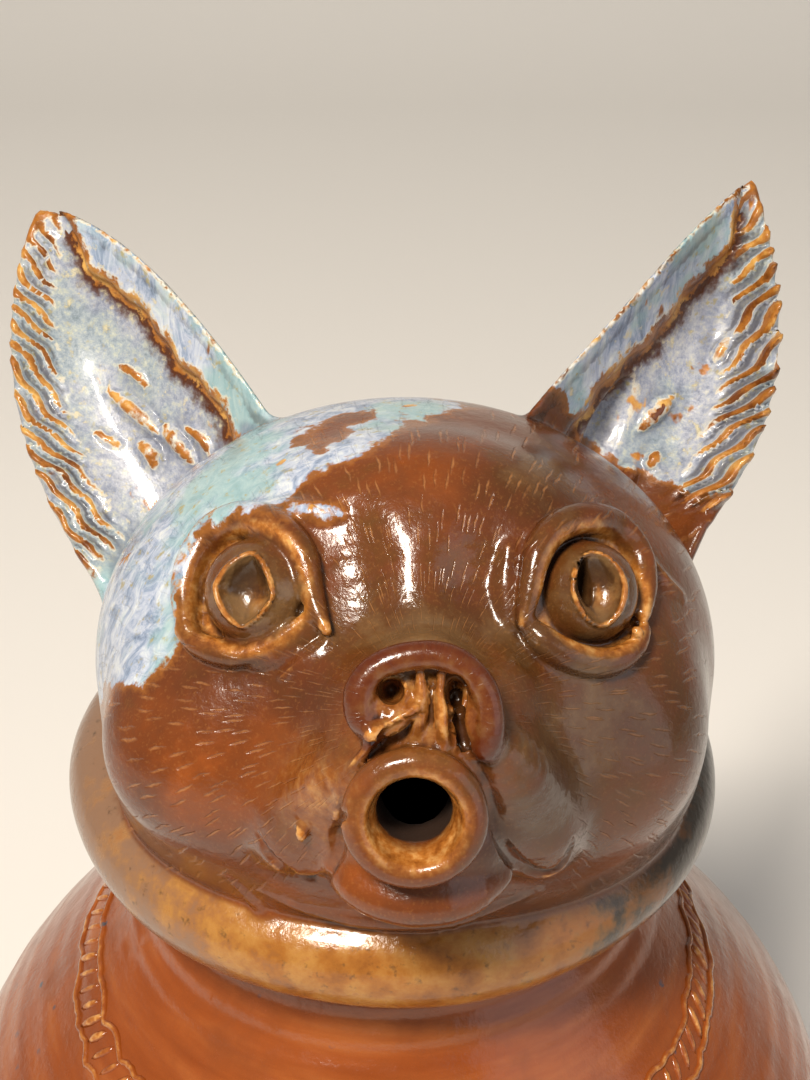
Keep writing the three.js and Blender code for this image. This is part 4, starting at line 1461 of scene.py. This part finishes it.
for side, lift in ((1, 3.0), (-1, 11.0)):
    position = node(ladder, "GeometryNodeInputPosition")
    shifted = node(ladder, VECTOR_MATH, ADD, _0=position, _1=(lift, 0, 0))
    waves = node(ladder, NOISE, Vector=shifted, Scale=170, Detail=2)
    wavy = node(ladder, MAP, Value=waves, From=(0.3, 0.7), To=(-0.0012, 0.0012))
    width = node(ladder, MATH, MULTIPLY_ADD, _0=half_width, _1=float(side), _2=wavy)
    offset = node(ladder, VECTOR_MATH, {"operation": "SCALE"}, _0=ways["upward"], Scale=width)
    moved = node(ladder, "GeometryNodeSetPosition", Geometry=given.outputs["Geometry"], Offset=offset)
    line = node(ladder, "GeometryNodeMeshToCurve", Mesh=moved)
    thread_radius = given.outputs["Thread radius"]
    circle = node(ladder, "GeometryNodeCurvePrimitiveCircle", Resolution=6, Radius=thread_radius)
    pieces.append(node(ladder, "GeometryNodeCurveToMesh", Curve=line, Profile_Curve=circle))
joined = node(ladder, "GeometryNodeJoinGeometry")
for piece in pieces:
    ladder.links.new(piece.outputs[0], joined.inputs[0])
real = node(ladder, "GeometryNodeRealizeInstances", Geometry=joined)
smooth = node(ladder, "GeometryNodeSetShadeSmooth", Geometry=real)
glazed_band = node(ladder, "GeometryNodeSetMaterial", Geometry=smooth, Material=given.outputs["Glaze"])
node(ladder, "NodeGroupOutput", Geometry=glazed_band)

# %% Make the band's mesh
layer = band.modifiers.new("ladder", "NODES")
layer.node_group = ladder
for socket, value in inputs.values():
    layer[socket.identifier] = value
depsgraph = bpy.context.evaluated_depsgraph_get()
band_mesh = bpy.data.meshes.new_from_object(band.evaluated_get(depsgraph))
band.modifiers.clear()
band.data = band_mesh
band_points = coordinates(band_mesh)
proud = np.hypot(band_points[:, 0], band_points[:, 1]) - jug_radius(band_points[:, 2])
keep(band, "sharp", np.clip(0.22 * proud - 0.02, -0.2, 0.3))
keep(band, "pale", np.full(len(band_points), -12.0))
print("band", len(band_mesh.polygons), "faces", len(band_mesh.materials), "material")

# %% [markdown]
# ## Floor and light
# A plain pale floor that rises behind, and soft studio lights: a large one above at the
# left, which makes the highlights, a weaker one at the right, and an even pale world.

# %% Floor, lights and world
floor_size, floor_depth, floor_bend, bend_steps = 3.0, 0.9, 0.4, 12
profile = [(-floor_size, 0.0), (floor_depth, 0.0)]
for i in range(1, bend_steps + 1):
    turn = math.pi / 2 * i / bend_steps
    profile.append((floor_depth + floor_bend * math.sin(turn), floor_bend - floor_bend * math.cos(turn)))
profile.append((floor_depth + floor_bend, floor_size))
sweep = np.array([(x, y, z) for y, z in profile for x in (-floor_size, floor_size)]) / MM
rows = np.array([(2 * i, 2 * i + 1, 2 * i + 3, 2 * i + 2) for i in range(len(profile) - 1)])
floor = placed("floor", mesh_of("floor", sweep, rows))
for polygon in floor.data.polygons:
    polygon.use_smooth = True
paper = bpy.data.materials.new("matt_backdrop_paper")
paper.use_nodes = True
paper_inputs = paper.node_tree.nodes["Principled BSDF"].inputs
paper_inputs["Base Color"].default_value = linear("#e6e3de")
paper_inputs["Roughness"].default_value = 0.9
floor.data.materials.append(paper)
floor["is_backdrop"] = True


def lamp(name, at, aim, size, power, colour):
    data = bpy.data.lights.new(name, "AREA")
    data.shape = "RECTANGLE"
    data.size, data.size_y = size, size
    data.energy = power
    data.color = linear(colour)[:3]
    made = bpy.data.objects.new(name, data)
    bpy.context.scene.collection.objects.link(made)
    made.location = at
    made.rotation_euler = (Vector(aim) - Vector(at)).to_track_quat("-Z", "Y").to_euler()


head_at = Vector(HEAD_CENTRE * MM)
lamp("key", (-0.3, -0.6, 1.1), head_at, 0.24, 21, "#fff4e6")
lamp("fill", (1.0, -0.7, 0.5), head_at, 1.1, 4, "#f3f6ff")
world = bpy.data.worlds.new("studio")
world.use_nodes = True
sky = world.node_tree.nodes["Background"].inputs
sky["Color"].default_value = linear("#f2f1ee")
sky["Strength"].default_value = 0.3
bpy.context.scene.world = world
bpy.context.scene.view_settings.view_transform = "Standard"

# %% Hand the piece over to the frame
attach(pitcher, "root")
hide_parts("pitcher")
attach(band, "root")
bpy.context.view_layer.update()
low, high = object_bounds()
sizes = {"cad": [list(cad_low), list(cad_high)], "visual": [list(low), list(high)]}
print("visual box", [round(x, 4) for x in (*low, *high)])
